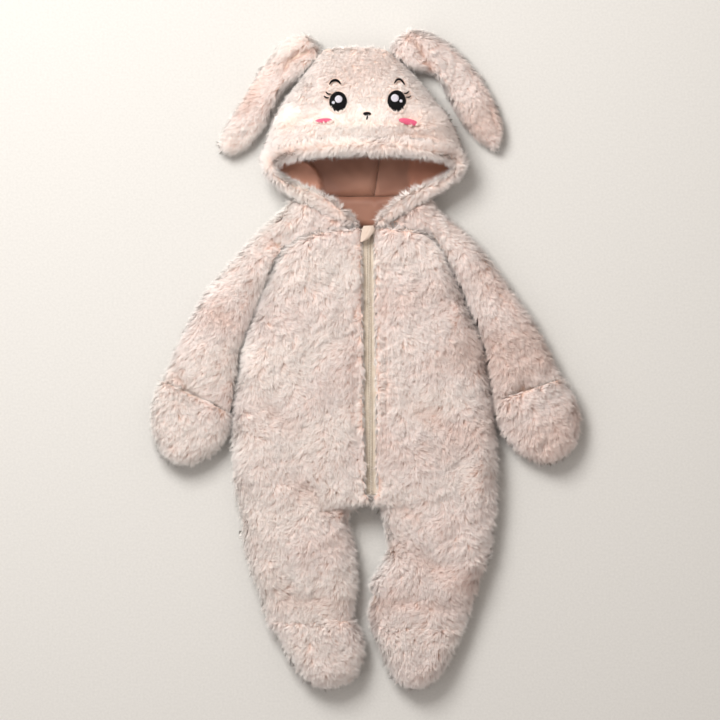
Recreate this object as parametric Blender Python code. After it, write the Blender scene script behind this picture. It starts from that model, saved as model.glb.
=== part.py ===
"""Hooded plush onesie for a baby, with rabbit ears, fold-over mittens and feet.

The garment lies on its back on a flat surface, with its arms at its sides.  +Z is up, +Y
points to the ears and +X to the right of someone who looks down on it.  All the tables are
in millimetres from the middle of the garment's box, on the surface that it lies on.

Every plush piece is a wall of cloth: the outer points lie at the tips of the pile and the
inner points on the back of the cloth, around an empty hollow.  A front piece rises from
the height of the seams, and a back piece sinks from it to the surface.
"""
import math
from collections import namedtuple

import bpy
import numpy as np
from mathutils import Vector
from mathutils.bvhtree import BVHTree

MM = 0.001                  # the tables are in millimetres, the meshes in metres

# Cloth
SEAM_GAP = 0.3              # between two pieces at a seam
BODY_WALL = 9.0             # backing and long pile
LIMB_WALL = 8.0             # the same cloth, pressed a little at the sleeves and the feet
CUFF_WALL = 4.5             # the end of the sleeve, pressed inside the mitten
HOOD_WALL = 8.0             # shorter brushed pile
EAR_WALL = 10.0             # a layer of an ear with its filling
LINING_WALL = 1.5
TAPE_WALL = 1.0
EMBROIDERY_WALL = 1.2

# Heights over the surface
BODY_SEAM = 22.0            # side seams of the body, the sleeves, the mittens and the feet
CUFF_SEAM = 18.5
HOOD_SEAM = 28.0
EAR_SEAM = 14.0
SLEEVE_CROWN = 43.0
WRIST_CROWN = 37.0          # the sleeve where the edge of the mitten's flap begins
CUFF_CROWN = 28.0
CUFF_FLOOR = 8.3
MITTEN_CROWN = 42.0
FOOT_CROWN = 48.0
BRIM_CORNER_TOP = 54.0      # top of the hood's edge band at the corners of the opening
BRIM_DEPTH = 24.0
BRIM_RISE = 3.0             # the band stands this much over the hood front

# Radii of the rolled edges, measured in plan
BODY_ROLL = 30.0
LIMB_ROLL = 26.0
CUFF_ROLL = 16.0
HOOD_ROLL = 46.0
EAR_ROLL = 16.0
SEAM_ROLL = 10.0            # soft valley beside a seam on top
SEAM_DROP = 6.0             # depth of that valley
FLOOR_DROP = 1.5            # the same underneath
ROUNDNESS = 0.07            # how much a section is higher in its middle
LOWEST_ROUNDED = 4.0        # lower sections, at the closed ends, have neither that nor folds
WIDEST_ROLL = 0.46          # of a narrow section, as a share of its width
WIDEST_INSET = 0.3          # of the inner points, as a share of the same width
SHARP_ANGLE = 50            # degrees; smoother edges are shaded as curved

# Zip
ZIP_TOP = (2.5, 161.0)
ZIP_END = (6.0, -172.0)
ZIP_HALF = 5.0              # half of the slot between the two furry edges
TAPE_LAP = 6.0              # what each tape reaches under its front
CHAIN_HALF = 2.6
CHAIN_HEIGHT = 2.2
SLIDER_TOP = 157.0
SLIDER_LENGTH = 11.0
SLIDER_HALF = 4.0
SLIDER_TAIL_HALF = 2.8
SLIDER_HEIGHT = 2.6

BESIDE_BODY = 1.2           # clear space between a sleeve and the body next to it
TUCK_IN = 12.0              # the sleeve's end is narrower than the mitten by this, each side
TUCK_DEPTH = 15.0           # and reaches so far into it
WRIST_SETBACK = 4.0         # the full sleeve ends so far before the flap

CORNER_STEPS = 3            # sections are drawn with so many steps at a rolled edge
BODY_FLAT_STEPS = 4         # and so many between the edges
LIMB_FLAT_STEPS = 3
HOOD_FLAT_STEPS = 8
EAR_FLAT_STEPS = 2
PATCH_LIFT = 1.0            # embroidery over the pile that it presses down
STROKE_END = 0.5            # width of a stroke at its ends, as a share of its full width
OVER_ALL = 300.0            # a height over the whole garment

Row = namedtuple("Row", "ax ay bx by crown curl_a curl_b")
Tip = namedtuple("Tip", "ax ay bx by reach")
Hood = namedtuple("Hood", "ax ay bx by bow crown reach")
Fold = namedtuple("Fold", "x0 y0 x1 y1 width depth")
Band = namedtuple("Band", "ox oy ix iy low high")
Ear = namedtuple("Ear", "ax ay bx by crown floor")
FAR = 1000.0                # reach of a section that lies far from a closed end

# Raglan seams, from the zip's top to the underarm
RAGLAN_LEFT = [(-17.5, 162.5), (-40, 161), (-62.5, 156), (-82.5, 149), (-97.5, 137.5),
               (-107.5, 125), (-116, 109)]
RAGLAN_RIGHT = [(22, 164), (42.5, 162.5), (61, 160), (76, 155), (87.5, 142.5),
                (96, 127.5), (105, 110)]
NECK_LEFT = (-94.0, 201.0)  # where the hood, the shoulder fold and the neck seam meet
NECK_RIGHT = (84.0, 201.0)

# Body sections: A on the outer edge, B at the zip (0 there) or on the inner leg.
# curl is 0 at a seam that lies on top and 1 at an edge that rolls down to the side seam.
#    ax      ay      bx      by     crown curl_a curl_b
BODY_LEFT = [Row(*row) for row in (
    (RAGLAN_LEFT[0][0], RAGLAN_LEFT[0][1], 0, 160, 46, 0, 0),
    (RAGLAN_LEFT[1][0], RAGLAN_LEFT[1][1], 0, 151, 48, 0, 0),
    (RAGLAN_LEFT[2][0], RAGLAN_LEFT[2][1], 0, 141, 49, 0, 0),
    (RAGLAN_LEFT[3][0], RAGLAN_LEFT[3][1], 0, 131, 50, 0, 0),
    (RAGLAN_LEFT[4][0], RAGLAN_LEFT[4][1], 0, 122, 51, 0, 0),
    (RAGLAN_LEFT[5][0], RAGLAN_LEFT[5][1], 0, 114, 52, 0, 0),
    (RAGLAN_LEFT[6][0], RAGLAN_LEFT[6][1], 0, 104, 52, 0.5, 0),
    (-125, 87.5, 0, 87.5, 52, 1, 0),
    (-132.5, 67.5, 0, 67.5, 52, 1, 0),
    (-140, 49, 0, 49, 52, 1, 0),
    (-147.5, 29, 0, 29, 52, 1, 0),
    (-154, 9, 0, 9, 53, 1, 0),
    (-157.5, -11, 0, -11, 53, 1, 0),
    (-160, -31, 0, -31, 54, 1, 0),
    (-162.5, -51, 0, -51, 54, 1, 0),
    (-166, -72.5, 0, -72.5, 54, 1, 0),
    (-167.5, -94, 0, -94, 54, 1, 0),
    (-166, -116, 0, -116, 53, 1, 0),
    (-166, -139, 0, -139, 52, 1, 0),
    (-164, -160, 0, -160, 51, 1, 0),
    (-162, -171, 0, -172, 50, 1, 0),
    (-160, -178, 5.85, -178.5, 49, 1, 0),
    (-159, -184, -7.5, -184, 48, 1, 1),
    (-157.5, -190, -17.5, -190, 48, 1, 1),
    (-156, -200, -22.5, -200, 50, 1, 1),
    (-154, -220, -17.5, -220, 51, 1, 1),
    (-150, -242.5, -14, -242.5, 51, 1, 1),
    (-144, -264, -11, -264, 50, 1, 1),
    (-136, -286, -11, -285, 48, 1, 1),
    (-129, -308, -15, -307, 46, 1, 1),
    (-120, -331, -14.5, -325, 42, 1, 1))]
BODY_RIGHT = [Row(*row) for row in (
    (RAGLAN_RIGHT[0][0], RAGLAN_RIGHT[0][1], 0, 160, 46, 0, 0),
    (RAGLAN_RIGHT[1][0], RAGLAN_RIGHT[1][1], 0, 151, 48, 0, 0),
    (RAGLAN_RIGHT[2][0], RAGLAN_RIGHT[2][1], 0, 141, 49, 0, 0),
    (RAGLAN_RIGHT[3][0], RAGLAN_RIGHT[3][1], 0, 131, 50, 0, 0),
    (RAGLAN_RIGHT[4][0], RAGLAN_RIGHT[4][1], 0, 122, 51, 0, 0),
    (RAGLAN_RIGHT[5][0], RAGLAN_RIGHT[5][1], 0, 114, 52, 0, 0),
    (RAGLAN_RIGHT[6][0], RAGLAN_RIGHT[6][1], 0, 105, 52, 0.5, 0),
    (115, 89, 0, 89, 52, 1, 0),
    (122.5, 69, 0, 69, 52, 1, 0),
    (131, 51, 0, 51, 52, 1, 0),
    (140, 30, 0, 30, 52, 1, 0),
    (146, 9, 0, 9, 53, 1, 0),
    (150, -11, 0, -11, 53, 1, 0),
    (154, -31, 0, -31, 54, 1, 0),
    (156, -51, 0, -51, 54, 1, 0),
    (159, -72.5, 0, -72.5, 54, 1, 0),
    (160, -94, 0, -94, 54, 1, 0),
    (162.5, -116, 0, -116, 53, 1, 0),
    (165, -139, 0, -139, 52, 1, 0),
    (164.5, -160, 0, -160, 51, 1, 0),
    (164, -171, 0, -172, 50, 1, 0),
    (163.5, -178, 6.15, -178.5, 49, 1, 0),
    (162.5, -185, 15, -184, 48, 1, 1),
    (161, -194, 19, -193, 49, 1, 1),
    (160, -206, 22, -205, 50, 1, 1),
    (156, -225, 25, -224, 51, 1, 1),
    (152.5, -245, 26, -242, 51, 1, 1),
    (146, -265, 19, -261, 50, 1, 1),
    (140, -286, 5, -279, 49, 1, 1),
    (132.5, -306, 0, -296, 47, 1, 1),
    (126, -321, 1, -314, 45, 1, 1),
    (120, -339, 5, -334, 42, 1, 1))]

# Sleeve sections: A on the outer fold, B on the raglan seam, then beside the body (0 there)
SLEEVE_LEFT = [
    (NECK_LEFT, RAGLAN_LEFT[0]), ((-99, 190), RAGLAN_LEFT[1]), ((-109, 179), RAGLAN_LEFT[2]),
    ((-122.5, 167.5), RAGLAN_LEFT[3]), ((-136, 155), RAGLAN_LEFT[4]),
    ((-149, 140), RAGLAN_LEFT[5]), ((-162.5, 125), RAGLAN_LEFT[6]),
    ((-176, 110), (0, 82.5)), ((-190, 95), (0, 58)), ((-204, 75), (0, 36)),
    ((-216, 54), (0, 15)), ((-227.5, 31), (0, -5)), ((-239, 6), (0, -26)),
    ((-248, -14), (0, -47))]
SLEEVE_RIGHT = [
    (NECK_RIGHT, RAGLAN_RIGHT[0]), ((87.5, 187.5), RAGLAN_RIGHT[1]),
    ((97.5, 176), RAGLAN_RIGHT[2]), ((111, 166), RAGLAN_RIGHT[3]),
    ((125, 154), RAGLAN_RIGHT[4]), ((137.5, 141), RAGLAN_RIGHT[5]),
    ((150, 125), RAGLAN_RIGHT[6]), ((164, 108), (0, 75)), ((176, 91), (0, 55)),
    ((189, 74), (0, 34)), ((201, 56), (0, 14)), ((212.5, 36), (0, -5)),
    ((224, 15), (0, -22.5)), ((234, -5), (0, -37))]

# Mittens and feet: A on the outer side, B on the inner, reach from the closed end
#    ax    ay      bx    by    reach
MITTEN_LEFT = [Tip(*row) for row in (
    (-256, -29, 0, -71, FAR), (-263, -43, 0, -87, FAR), (-267.5, -60, -171, -97.5, FAR),
    (-268, -76, -179, -107.5, FAR), (-266.5, -94, -189, -119, 30),
    (-261, -110, -201, -127.5, 17), (-250.6, -123, -215, -132.5, 8),
    (-240, -130, -226, -133, 1))]
MITTEN_RIGHT = [Tip(*row) for row in (
    (246, -26, 0, -57, FAR), (256, -42.5, 0, -73, FAR), (264, -60, 167.5, -89, FAR),
    (268, -79, 177.5, -104, FAR), (266, -96, 190, -117.5, 30),
    (259, -111, 204, -126, 17), (246, -123, 219, -130, 8), (237.5, -127.5, 227.5, -130, 1))]
FOOT_LEFT = [Tip(*row) for row in (
    (-120, -331, -14.5, -325, FAR), (-110, -345, -6, -340, FAR), (-102.5, -360, -3, -356, FAR),
    (-95, -374, -2.5, -370, FAR), (-86, -386, -5.5, -382.5, 27), (-79, -397.5, -11, -394, 15),
    (-67.5, -407, -22.5, -403.5, 6), (-55, -411, -35, -409, 1))]
FOOT_RIGHT = [Tip(*row) for row in (
    (120, -339, 5, -334, FAR), (114, -355, 11, -350, FAR), (107.5, -370, 17.5, -365, 40),
    (101, -385, 24, -380, 26), (92, -397.5, 31, -394, 15), (79, -406.5, 41, -405, 6),
    (69, -410.8, 53, -410.8, 1))]

# Hood sections from the crown of the head to the neck: A on the left, B on the right
#    ax      ay     bx      by    bow crown reach
HOOD_FRONT = [Hood(*row) for row in (
    (-55, 383.8, 27.5, 385, 2.5, 52, 1), (-60, 377.5, 33.8, 378.8, 3, 52, 8),
    (-70, 364, 48.8, 365, 4, 54, 22), (-82.5, 346, 65, 347.5, 6, 62, FAR),
    (-95, 330, 78.8, 330, 8, 69, FAR), (-106, 314, 92.5, 312.5, 11, 75, FAR),
    (-116, 294, 105, 295, 14, 80, FAR), (-124, 272.5, 115, 274, 18, 84, FAR),
    (-128.8, 252.5, 123, 252.5, 21, 85, FAR))]
HOOD_NAPE = [Hood(*row) for row in (
    (-130, 240, 125, 239, 17, 0, FAR), (-125, 226, 117.5, 225, 6, 0, FAR),
    (-110, 212.5, 101, 212.5, -12, 0, FAR), (-94, 201.4, 84, 201.4, 0, 0, FAR))]
BOW_POWER = 4
LINING_ROW = 2              # the lining starts at this section of the hood
NECK_LINE = [NECK_LEFT, RAGLAN_LEFT[0], (2.5, 160), RAGLAN_RIGHT[0], NECK_RIGHT]

# Edge band of the hood, from the zip up one side: O outside, I at the opening.
# oy 0 lies on the neck line.
#    ox    oy     ix     iy    low high
BAND_LEFT = [Band(*row) for row in (
    (-19, 0, -7.5, 165.6, 31, 48), (-34, 0, -19, 177, 30, 48), (-52, 0, -36, 192.5, 30, 48),
    (-70, 0, -57, 206, 30, 48), (-85, 0, -75, 213, 30, 48), (-96, 202.6, -88, 217, 30, 49),
    (-110, 212.8, -100, 222, 29, 50), (-124, 225.4, -107, 228, 29, 52),
    (-130, 238, -110.5, 233.5, 29, 53), (-129.4, 250, -110.5, 238.5, 29, 54))]
BAND_RIGHT = [Band(*row) for row in (
    (22.5, 0, 11.5, 167.6, 31, 48), (34, 0, 18.5, 179, 30, 48), (48, 0, 30, 191, 30, 48),
    (64, 0, 48, 204.5, 30, 48), (78, 0, 66, 213, 30, 48), (88, 204.6, 82, 219, 30, 49),
    (101, 212.8, 95, 224, 29, 50), (117, 225.4, 104, 228.5, 29, 52),
    (124.8, 237, 107.5, 233.5, 29, 53), (123.8, 250, 107, 238.5, 29, 54))]
OPENING_LEFT = (-109.5, 239.5)      # ends of the hood's lower front edge
OPENING_RIGHT = (106, 240)
OPENING_BOW = 11.0
BAND_SIDES = 10

# Ears: A on the outer edge, B on the inner, from the root over the bend to the tip
#    ax    ay     bx     by   crown floor
EAR_LEFT = [Ear(*row) for row in (
    (-56.3, 383.5, -81.7, 348.5, 36, 0), (-71, 402.5, -95, 341, 40, 0),
    (-94, 400.6, -104, 332.5, 38, 0), (-114, 384, -109, 324, 33, 0),
    (-130, 359, -114, 311, 29, 0), (-145, 334, -120.6, 300, 28, 0),
    (-160, 311, -128, 284, 28, 0), (-174, 291, -139, 269, 27, 0),
    (-184, 272.5, -150, 259, 26, 0), (-183, 261, -161, 253, 22, 4),
    (-177.5, 255.6, -169, 252, 17, 10))]
EAR_RIGHT = [Ear(*row) for row in (
    (28.8, 385.2, 57.4, 357, 36, 0), (40, 402, 73.8, 355, 40, 0),
    (58.8, 411, 87.5, 351, 40, 0), (82.5, 405, 95, 341, 36, 0),
    (105, 390, 101, 326, 31, 0), (126, 370, 109, 310, 28, 0),
    (145, 345, 119, 294, 28, 0), (159, 320, 130, 279, 28, 0),
    (169, 294, 142.5, 267, 27, 0), (170.6, 276, 154, 260, 23, 4),
    (166, 265, 160, 259.4, 17, 10))]

# Largest folds, as troughs (below 0) and ridges along a line, in plan
#     x0    y0    x1    y1  width depth
FOLDS = [Fold(*row) for row in (
    (-117, 148, -101, 134, 7, -7), (-232, -22, -220, -39, 7, -6),
    (-57, -190, -22, -188, 6, -5), (-16, 40, -16, -60, 4, -3), (-15, -60, -9, -120, 4, -3),
    (23, 120, 24, -140, 5, -2), (76, 152, 90, 140, 6, -4), (193, -32, 197, -50, 7, -6),
    (-110, 280, -82, 294, 8, -4), (-82, 294, -55, 298, 7, -3), (-45, 283, 42, 283, 9, 4),
    (36, 278, 92, 274, 7, -4), (-100, 60, -60, 40, 16, 2), (60, 20, 110, -10, 18, 2),
    (-120, -120, -60, -130, 18, 2), (50, -250, 100, -270, 14, -2), (-70, -55, -30, -70, 18, -2))]

# Embroidered face, draped over the hood front.  Shapes are round unless they have a tilt.
Patch = namedtuple("Patch", "name x y half_x half_y tilt")
EYES = [Patch("eye_left", -34.6, 316, 11, 13, 0), Patch("eye_right", 37.9, 316.9, 11.5, 13.7, 0)]
GLINTS = [Patch("glint_left_large", -34, 319.1, 4.8, 4.8, 0),
          Patch("glint_left_small", -40.4, 315, 2.1, 2.1, 0),
          Patch("glint_right_large", 35.8, 320.5, 5, 5, 0),
          Patch("glint_right_small", 43.2, 316.9, 2.1, 2.1, 0)]
CHEEKS = [Patch("cheek_left", -52.5, 292.5, 10.5, 2.6, 4),
          Patch("cheek_right", 52.5, 290.9, 12.5, 3.8, -12)]
NOSE = Patch("nose", 1.2, 300.9, 4.8, 2.4, 0)
Stroke = namedtuple("Stroke", "name width points")
STROKES = [Stroke(*row) for row in (
    ("brow_left", 2.4,
     [(-45.4, 337.8), (-42.6, 341.6), (-38.8, 343.2), (-34.6, 342), (-31.6, 338.4)]),
    ("brow_right", 2.2,
     [(35.2, 339.4), (38, 343.4), (41.4, 344.6), (44.8, 342.4), (47.8, 337.8)]),
    ("lash_left_upper", 1.6, [(-42.6, 325.6), (-46.8, 325.8), (-50, 327.6)]),
    ("lash_left_lower", 1.6, [(-46.4, 320.8), (-49.4, 321.2), (-52.4, 323.2)]),
    ("lash_right_upper", 1.6, [(46.8, 326.4), (50.2, 326.6), (53.4, 328.6)]),
    ("lash_right_lower", 1.6, [(50.2, 322), (53, 322), (55.8, 323.2)]),
    ("nose_stem", 1.6, [(1.6, 297.6), (1.4, 295.6), (0.8, 293.6)]))]

# Folded cloth guard at the zip's top, from its upper edge to its point: left and right ends
GUARD = [((-5.6, 162.4), (9.4, 162)), ((-6.4, 157), (9, 155.6)), ((-6.2, 150), (4.4, 149)),
         ((-5.4, 143.4), (-2.4, 142.4))]
GUARD_WALL = 3.0
GUARD_LOW = 46.4
LABEL_SIZE = (4.0, 10.0, 0.8)       # blank tab in the left side seam
LABEL_PLACE = (-154.6, -221.5)

COLOURS = {                         # linear colour, roughness
    "long_plush": ((0.74, 0.55, 0.45), 0.95), "short_plush": ((0.80, 0.63, 0.54), 0.92),
    "lining": ((0.27, 0.12, 0.075), 0.55), "guard": ((0.76, 0.64, 0.55), 0.6),
    "tape": ((0.50, 0.41, 0.31), 0.8), "zip_metal": ((0.55, 0.46, 0.36), 0.4),
    "thread_black": ((0.012, 0.011, 0.012), 0.5), "thread_white": ((0.80, 0.79, 0.80), 0.5),
    "thread_pink": ((0.80, 0.13, 0.22), 0.5), "label": ((0.85, 0.84, 0.82), 0.7)}


def clear_scene():
    for old in list(bpy.data.objects):
        bpy.data.objects.remove(old, do_unlink=True)


def new_material(name, finish):
    colour, roughness = COLOURS[finish]
    material = bpy.data.materials.new(name + "_material")
    material.use_nodes = True
    shader = material.node_tree.nodes["Principled BSDF"]
    shader.inputs["Base Color"].default_value = (*colour, 1)
    shader.inputs["Roughness"].default_value = roughness
    shader.inputs["Metallic"].default_value = 0.7 if finish == "zip_metal" else 0
    return material


def add_mesh(collection, name, points, triangles, finish):
    """Makes one named object from points in millimetres and triangles that face out."""
    mesh = bpy.data.meshes.new(name)
    mesh.from_pydata([Vector(point) * MM for point in points], [], triangles)
    mesh.update()
    mesh.shade_smooth()
    mesh.set_sharp_from_angle(angle=math.radians(SHARP_ANGLE))
    mesh.materials.append(new_material(name, finish))
    part = bpy.data.objects.new(name, mesh)
    collection.objects.link(part)
    return part


def facing_out(points, triangles):
    """Turns all the triangles over if they enclose a negative volume."""
    corners = np.array(points)[np.array(triangles)]
    volume = np.einsum("ij,ij->i", corners[:, 0], np.cross(corners[:, 1], corners[:, 2])).sum()
    if volume > 0:
        return triangles
    return [triangle[::-1] for triangle in triangles]


def loft(sections, caps):
    """Joins closed loops of equal length, and closes the ends with the given quads."""
    count = len(sections[0])
    points = [point for section in sections for point in section]
    triangles = []
    for row in range(len(sections) - 1):
        for column in range(count):
            here = row * count + column
            beside = row * count + (column + 1) % count
            triangles.append((here, beside, beside + count))
            triangles.append((here, beside + count, here + count))
    last = (len(sections) - 1) * count
    for a, b, c, d in caps:
        triangles += [(a, d, c), (a, c, b)]
        triangles += [(last + a, last + b, last + c), (last + a, last + c, last + d)]
    return points, facing_out(points, triangles)


def wall(collection, name, sections, finish):
    """A wall of cloth through sections, each a list of outer points and one of inner points."""
    loops = [list(outer) + list(inner)[::-1] for outer, inner in sections]
    width = len(sections[0][0])
    total = 2 * width
    caps = [(i, i + 1, total - 2 - i, total - 1 - i) for i in range(width - 1)]
    points, triangles = loft(loops, caps)
    return add_mesh(collection, name, points, triangles, finish)


def bar(collection, name, sections, finish):
    """A filled loft through convex loops."""
    count = len(sections[0])
    caps = [(i, i + 1, count - 2 - i, count - 1 - i) for i in range(count // 2 - 1)]
    points, triangles = loft(sections, caps)
    return add_mesh(collection, name, points, triangles, finish)


def fold_height(x, y):
    """Height that the folds add to the cloth over one point of the surface."""
    total = 0.0
    for fold in FOLDS:
        start = np.array((fold.x0, fold.y0))
        along = np.array((fold.x1, fold.y1)) - start
        share = np.clip(np.dot((x, y) - start, along) / np.dot(along, along), 0, 1)
        distance = np.linalg.norm((x, y) - start - share * along)
        total += fold.depth * math.exp(-(distance / fold.width) ** 2)
    return total


def profile(width, radii, levels, flat_steps):
    """Distances from edge A, and heights as shares of the crown, along a half section."""
    turn = np.linspace(0, math.pi / 2, CORNER_STEPS + 1)[:-1]
    run = 1 - np.cos(turn)
    rise = np.sin(turn)
    radius_a = min(radii[0], WIDEST_ROLL * width)
    radius_b = min(radii[1], WIDEST_ROLL * width)
    flat = np.linspace(radius_a, width - radius_b, flat_steps + 1)
    distance = np.concatenate((radius_a * run, flat, width - radius_b * run[::-1]))
    rise_a = levels[0] + (1 - levels[0]) * rise
    rise_b = levels[1] + (1 - levels[1]) * rise[::-1]
    level = np.concatenate((rise_a, np.ones(flat_steps + 1), rise_b))
    return distance, level


def tip_shares(reach, roll, thickness):
    """Shares of the outer and inner heights near a closed end that rolls down."""
    outside = 1 - min(reach / roll, 1)
    inside = 1 - min(max(reach - thickness, 0) / (roll - thickness), 1)
    return math.sqrt(1 - outside ** 2), math.sqrt(1 - inside ** 2)


def half_section(a, b, seam, crown, thickness, roll, curls=(1, 1), reach=FAR,
                 flat_steps=LIMB_FLAT_STEPS, gap=SEAM_GAP, plan=None):
    """Outer and inner points from A to B, over the seam's height or under it."""
    side = 1 if crown > seam else -1
    base = seam + side * gap / 2
    start = np.array(a, float)
    across = np.array(b, float) - start
    width = np.linalg.norm(across)
    outer_share, inner_share = tip_shares(reach, roll, thickness)
    outer_height = abs(crown - base) * outer_share
    inner_height = max(abs(crown - base) - thickness, 0) * inner_share
    drop = SEAM_DROP if side > 0 else FLOOR_DROP
    flush = max(outer_height - drop, 1)
    outer_ends = [(1 - curl) * flush / outer_height for curl in curls]
    inner_ends = [(1 - curl) * max(flush - thickness, 0) / max(inner_height, 1) for curl in curls]
    insets = [min(curl * thickness, WIDEST_INSET * width) for curl in curls]
    radii = [SEAM_ROLL + curl * (roll - SEAM_ROLL) for curl in curls]
    inner_radii = [max(radius - inset, 4) for radius, inset in zip(radii, insets)]
    outer_at, outer_level = profile(width, radii, outer_ends, flat_steps)
    inner_at, inner_level = profile(width - sum(insets), inner_radii, inner_ends, flat_steps)
    sides = ((outer_at, outer_level, outer_height),
             (inner_at + insets[0], inner_level, inner_height))
    curves = []
    for distances, levels, height in sides:
        points = []
        for distance, level in zip(distances, levels):
            share = distance / width
            x, y = plan(share) if plan else start + across * share
            lift = height * level
            if side > 0 and height > LOWEST_ROUNDED:
                lift *= 1 - ROUNDNESS * (1 - math.sin(math.pi * share)) * level
                lift = max(lift + fold_height(x, y) * level, SEAM_GAP)
            points.append((x, y, base + side * lift))
        curves.append(points)
    return curves


def moved(a, b, distance):
    """A, moved towards B by a distance in plan."""
    a = np.array(a, float)
    across = np.array(b, float) - a
    return a + across * (distance / np.linalg.norm(across))


def zip_x(y):
    share = (ZIP_TOP[1] - y) / (ZIP_TOP[1] - ZIP_END[1])
    return ZIP_TOP[0] + share * (ZIP_END[0] - ZIP_TOP[0])


def body_ends(row, side, slot):
    """Both ends of a body section in plan, clear of the neighbours at its seams."""
    a = (row.ax, row.ay)
    b = (zip_x(row.by) + side * slot, row.by) if row.bx == 0 else (row.bx, row.by)
    if row.curl_a < 1:
        a = moved(a, b, SEAM_GAP)
    return a, b


def front_sections(rows, side):
    sections = []
    for row in rows:
        a, b = body_ends(row, side, ZIP_HALF)
        sections.append(half_section(a, b, BODY_SEAM, row.crown, BODY_WALL, BODY_ROLL,
                                     (row.curl_a, row.curl_b), flat_steps=BODY_FLAT_STEPS))
    return sections


def back_sections(rows, side):
    sections = []
    for row in rows:
        a, b = body_ends(row, side, SEAM_GAP / 2)
        sections.append(half_section(a, b, BODY_SEAM, 0, BODY_WALL, BODY_ROLL,
                                     (row.curl_a, row.curl_b), flat_steps=BODY_FLAT_STEPS))
    return sections


def beside_body(rows, side, y):
    """Plan point just outside the body's edge at a height y of the garment."""
    edge = sorted((row.ay, row.ax) for row in rows)
    x = np.interp(y, [point[0] for point in edge], [point[1] for point in edge])
    return np.array((x + side * BESIDE_BODY, y))


def ring_section(a, b, seam, crown, floor, thickness, roll, curl):
    """A section of a tube that is open at B: along the top from B to A, and back underneath."""
    top = half_section(a, b, seam, crown, thickness, roll, (1, curl), gap=0)
    under = half_section(a, b, seam, floor, thickness, roll, (1, curl), gap=0)
    outer = top[0][::-1] + under[0][1:]
    inner = top[1][::-1] + under[1][1:]
    if curl == 1:
        for points in (outer, inner):
            points[0] = (points[0][0], points[0][1], seam + SEAM_GAP / 2)
            points[-1] = (points[-1][0], points[-1][1], seam - SEAM_GAP / 2)
    return outer, inner


def sleeve_sections(rows, body, mitten, side):
    """Sleeve from the neck to the end that is tucked into the mitten."""
    sections = []
    for index, (a, b) in enumerate(rows):
        if index < len(RAGLAN_LEFT):
            curl = 0.5 if index == len(RAGLAN_LEFT) - 1 else 0
            b = moved(b, a, SEAM_GAP)
        else:
            curl = 1
            b = beside_body(body, side, b[1])
        sections.append(ring_section(a, b, BODY_SEAM, SLEEVE_CROWN, 0, LIMB_WALL, LIMB_ROLL,
                                     curl))
    flap_a, flap_b = mitten_ends(mitten[0], body, side)
    toward_b = (flap_b - flap_a) / np.linalg.norm(flap_b - flap_a)
    inward = np.array((toward_b[1], -toward_b[0]))
    inward *= -np.sign(inward[1])
    wrist_a = flap_a - inward * WRIST_SETBACK
    wrist_b = beside_body(body, side, flap_b[1] + WRIST_SETBACK)
    sections.append(ring_section(wrist_a, wrist_b, BODY_SEAM, WRIST_CROWN, 0, LIMB_WALL,
                                 LIMB_ROLL, 1))
    for depth in (-4 * SEAM_GAP, TUCK_DEPTH):
        a = flap_a + toward_b * TUCK_IN + inward * depth
        b = flap_b - toward_b * TUCK_IN + inward * depth
        sections.append(ring_section(a, b, CUFF_SEAM, CUFF_CROWN, CUFF_FLOOR, CUFF_WALL,
                                     CUFF_ROLL, 1))
    return sections


def mitten_ends(row, body, side):
    a = np.array((row.ax, row.ay), float)
    b = beside_body(body, side, row.by) if row.bx == 0 else np.array((row.bx, row.by), float)
    return a, b


def mitten_sections(rows, body, side, crown):
    sections = []
    for row in rows:
        a, b = mitten_ends(row, body, side)
        sections.append(half_section(a, b, BODY_SEAM, crown, LIMB_WALL, LIMB_ROLL,
                                     reach=row.reach))
    return sections


def foot_sections(rows, crown):
    sections = []
    for index, row in enumerate(rows):
        shift = np.array((0, -SEAM_GAP * 1.2)) if index == 0 else 0
        a = np.array((row.ax, row.ay), float) + shift
        b = np.array((row.bx, row.by), float) + shift
        top = crown - 5 if index == 0 and crown > BODY_SEAM else crown
        sections.append(half_section(a, b, BODY_SEAM, top, LIMB_WALL, LIMB_ROLL,
                                     reach=row.reach))
    return sections


def hood_plan(row):
    """Function that gives the plan points of a bowed hood section."""
    def place(share):
        x = row.ax + (row.bx - row.ax) * share
        y = row.ay + (row.by - row.ay) * share
        return x, y + row.bow * (1 - abs(2 * share - 1) ** BOW_POWER)
    return place


def neck_height(x):
    return np.interp(x, [point[0] for point in NECK_LINE], [point[1] for point in NECK_LINE])


def neck_plan(row):
    """The same along the neck seam, just clear of the shoulders and the body."""
    def place(share):
        x = row.ax + (row.bx - row.ax) * share
        return x, neck_height(x) + SEAM_GAP
    return place


def hood_sections(rows, flat):
    """Sections of the hood front, or of the back that lies on the surface if flat is set."""
    sections = []
    for row in rows:
        crown = 0 if flat else row.crown
        at_neck = row == HOOD_NAPE[-1]
        plan = neck_plan(row) if at_neck else hood_plan(row)
        sections.append(half_section((row.ax, row.ay), (row.bx, row.by), HOOD_SEAM, crown,
                                     HOOD_WALL, HOOD_ROLL, reach=row.reach, plan=plan,
                                     flat_steps=HOOD_FLAT_STEPS))
    return sections


def band_loop(row):
    """Rounded section of the hood's edge band."""
    outer = np.array((row.ox, row.oy if row.oy else neck_height(row.ox) + 2 * SEAM_GAP))
    inner = np.array((row.ix, row.iy))
    middle = (outer + inner) / 2
    half = (outer - inner) / 2
    loop = []
    for index in range(BAND_SIDES):
        angle = 2 * math.pi * index / BAND_SIDES
        place = middle + half * math.cos(angle)
        height = (row.low + row.high) / 2 + (row.high - row.low) / 2 * math.sin(angle)
        loop.append((place[0], place[1], height))
    return loop


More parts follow.
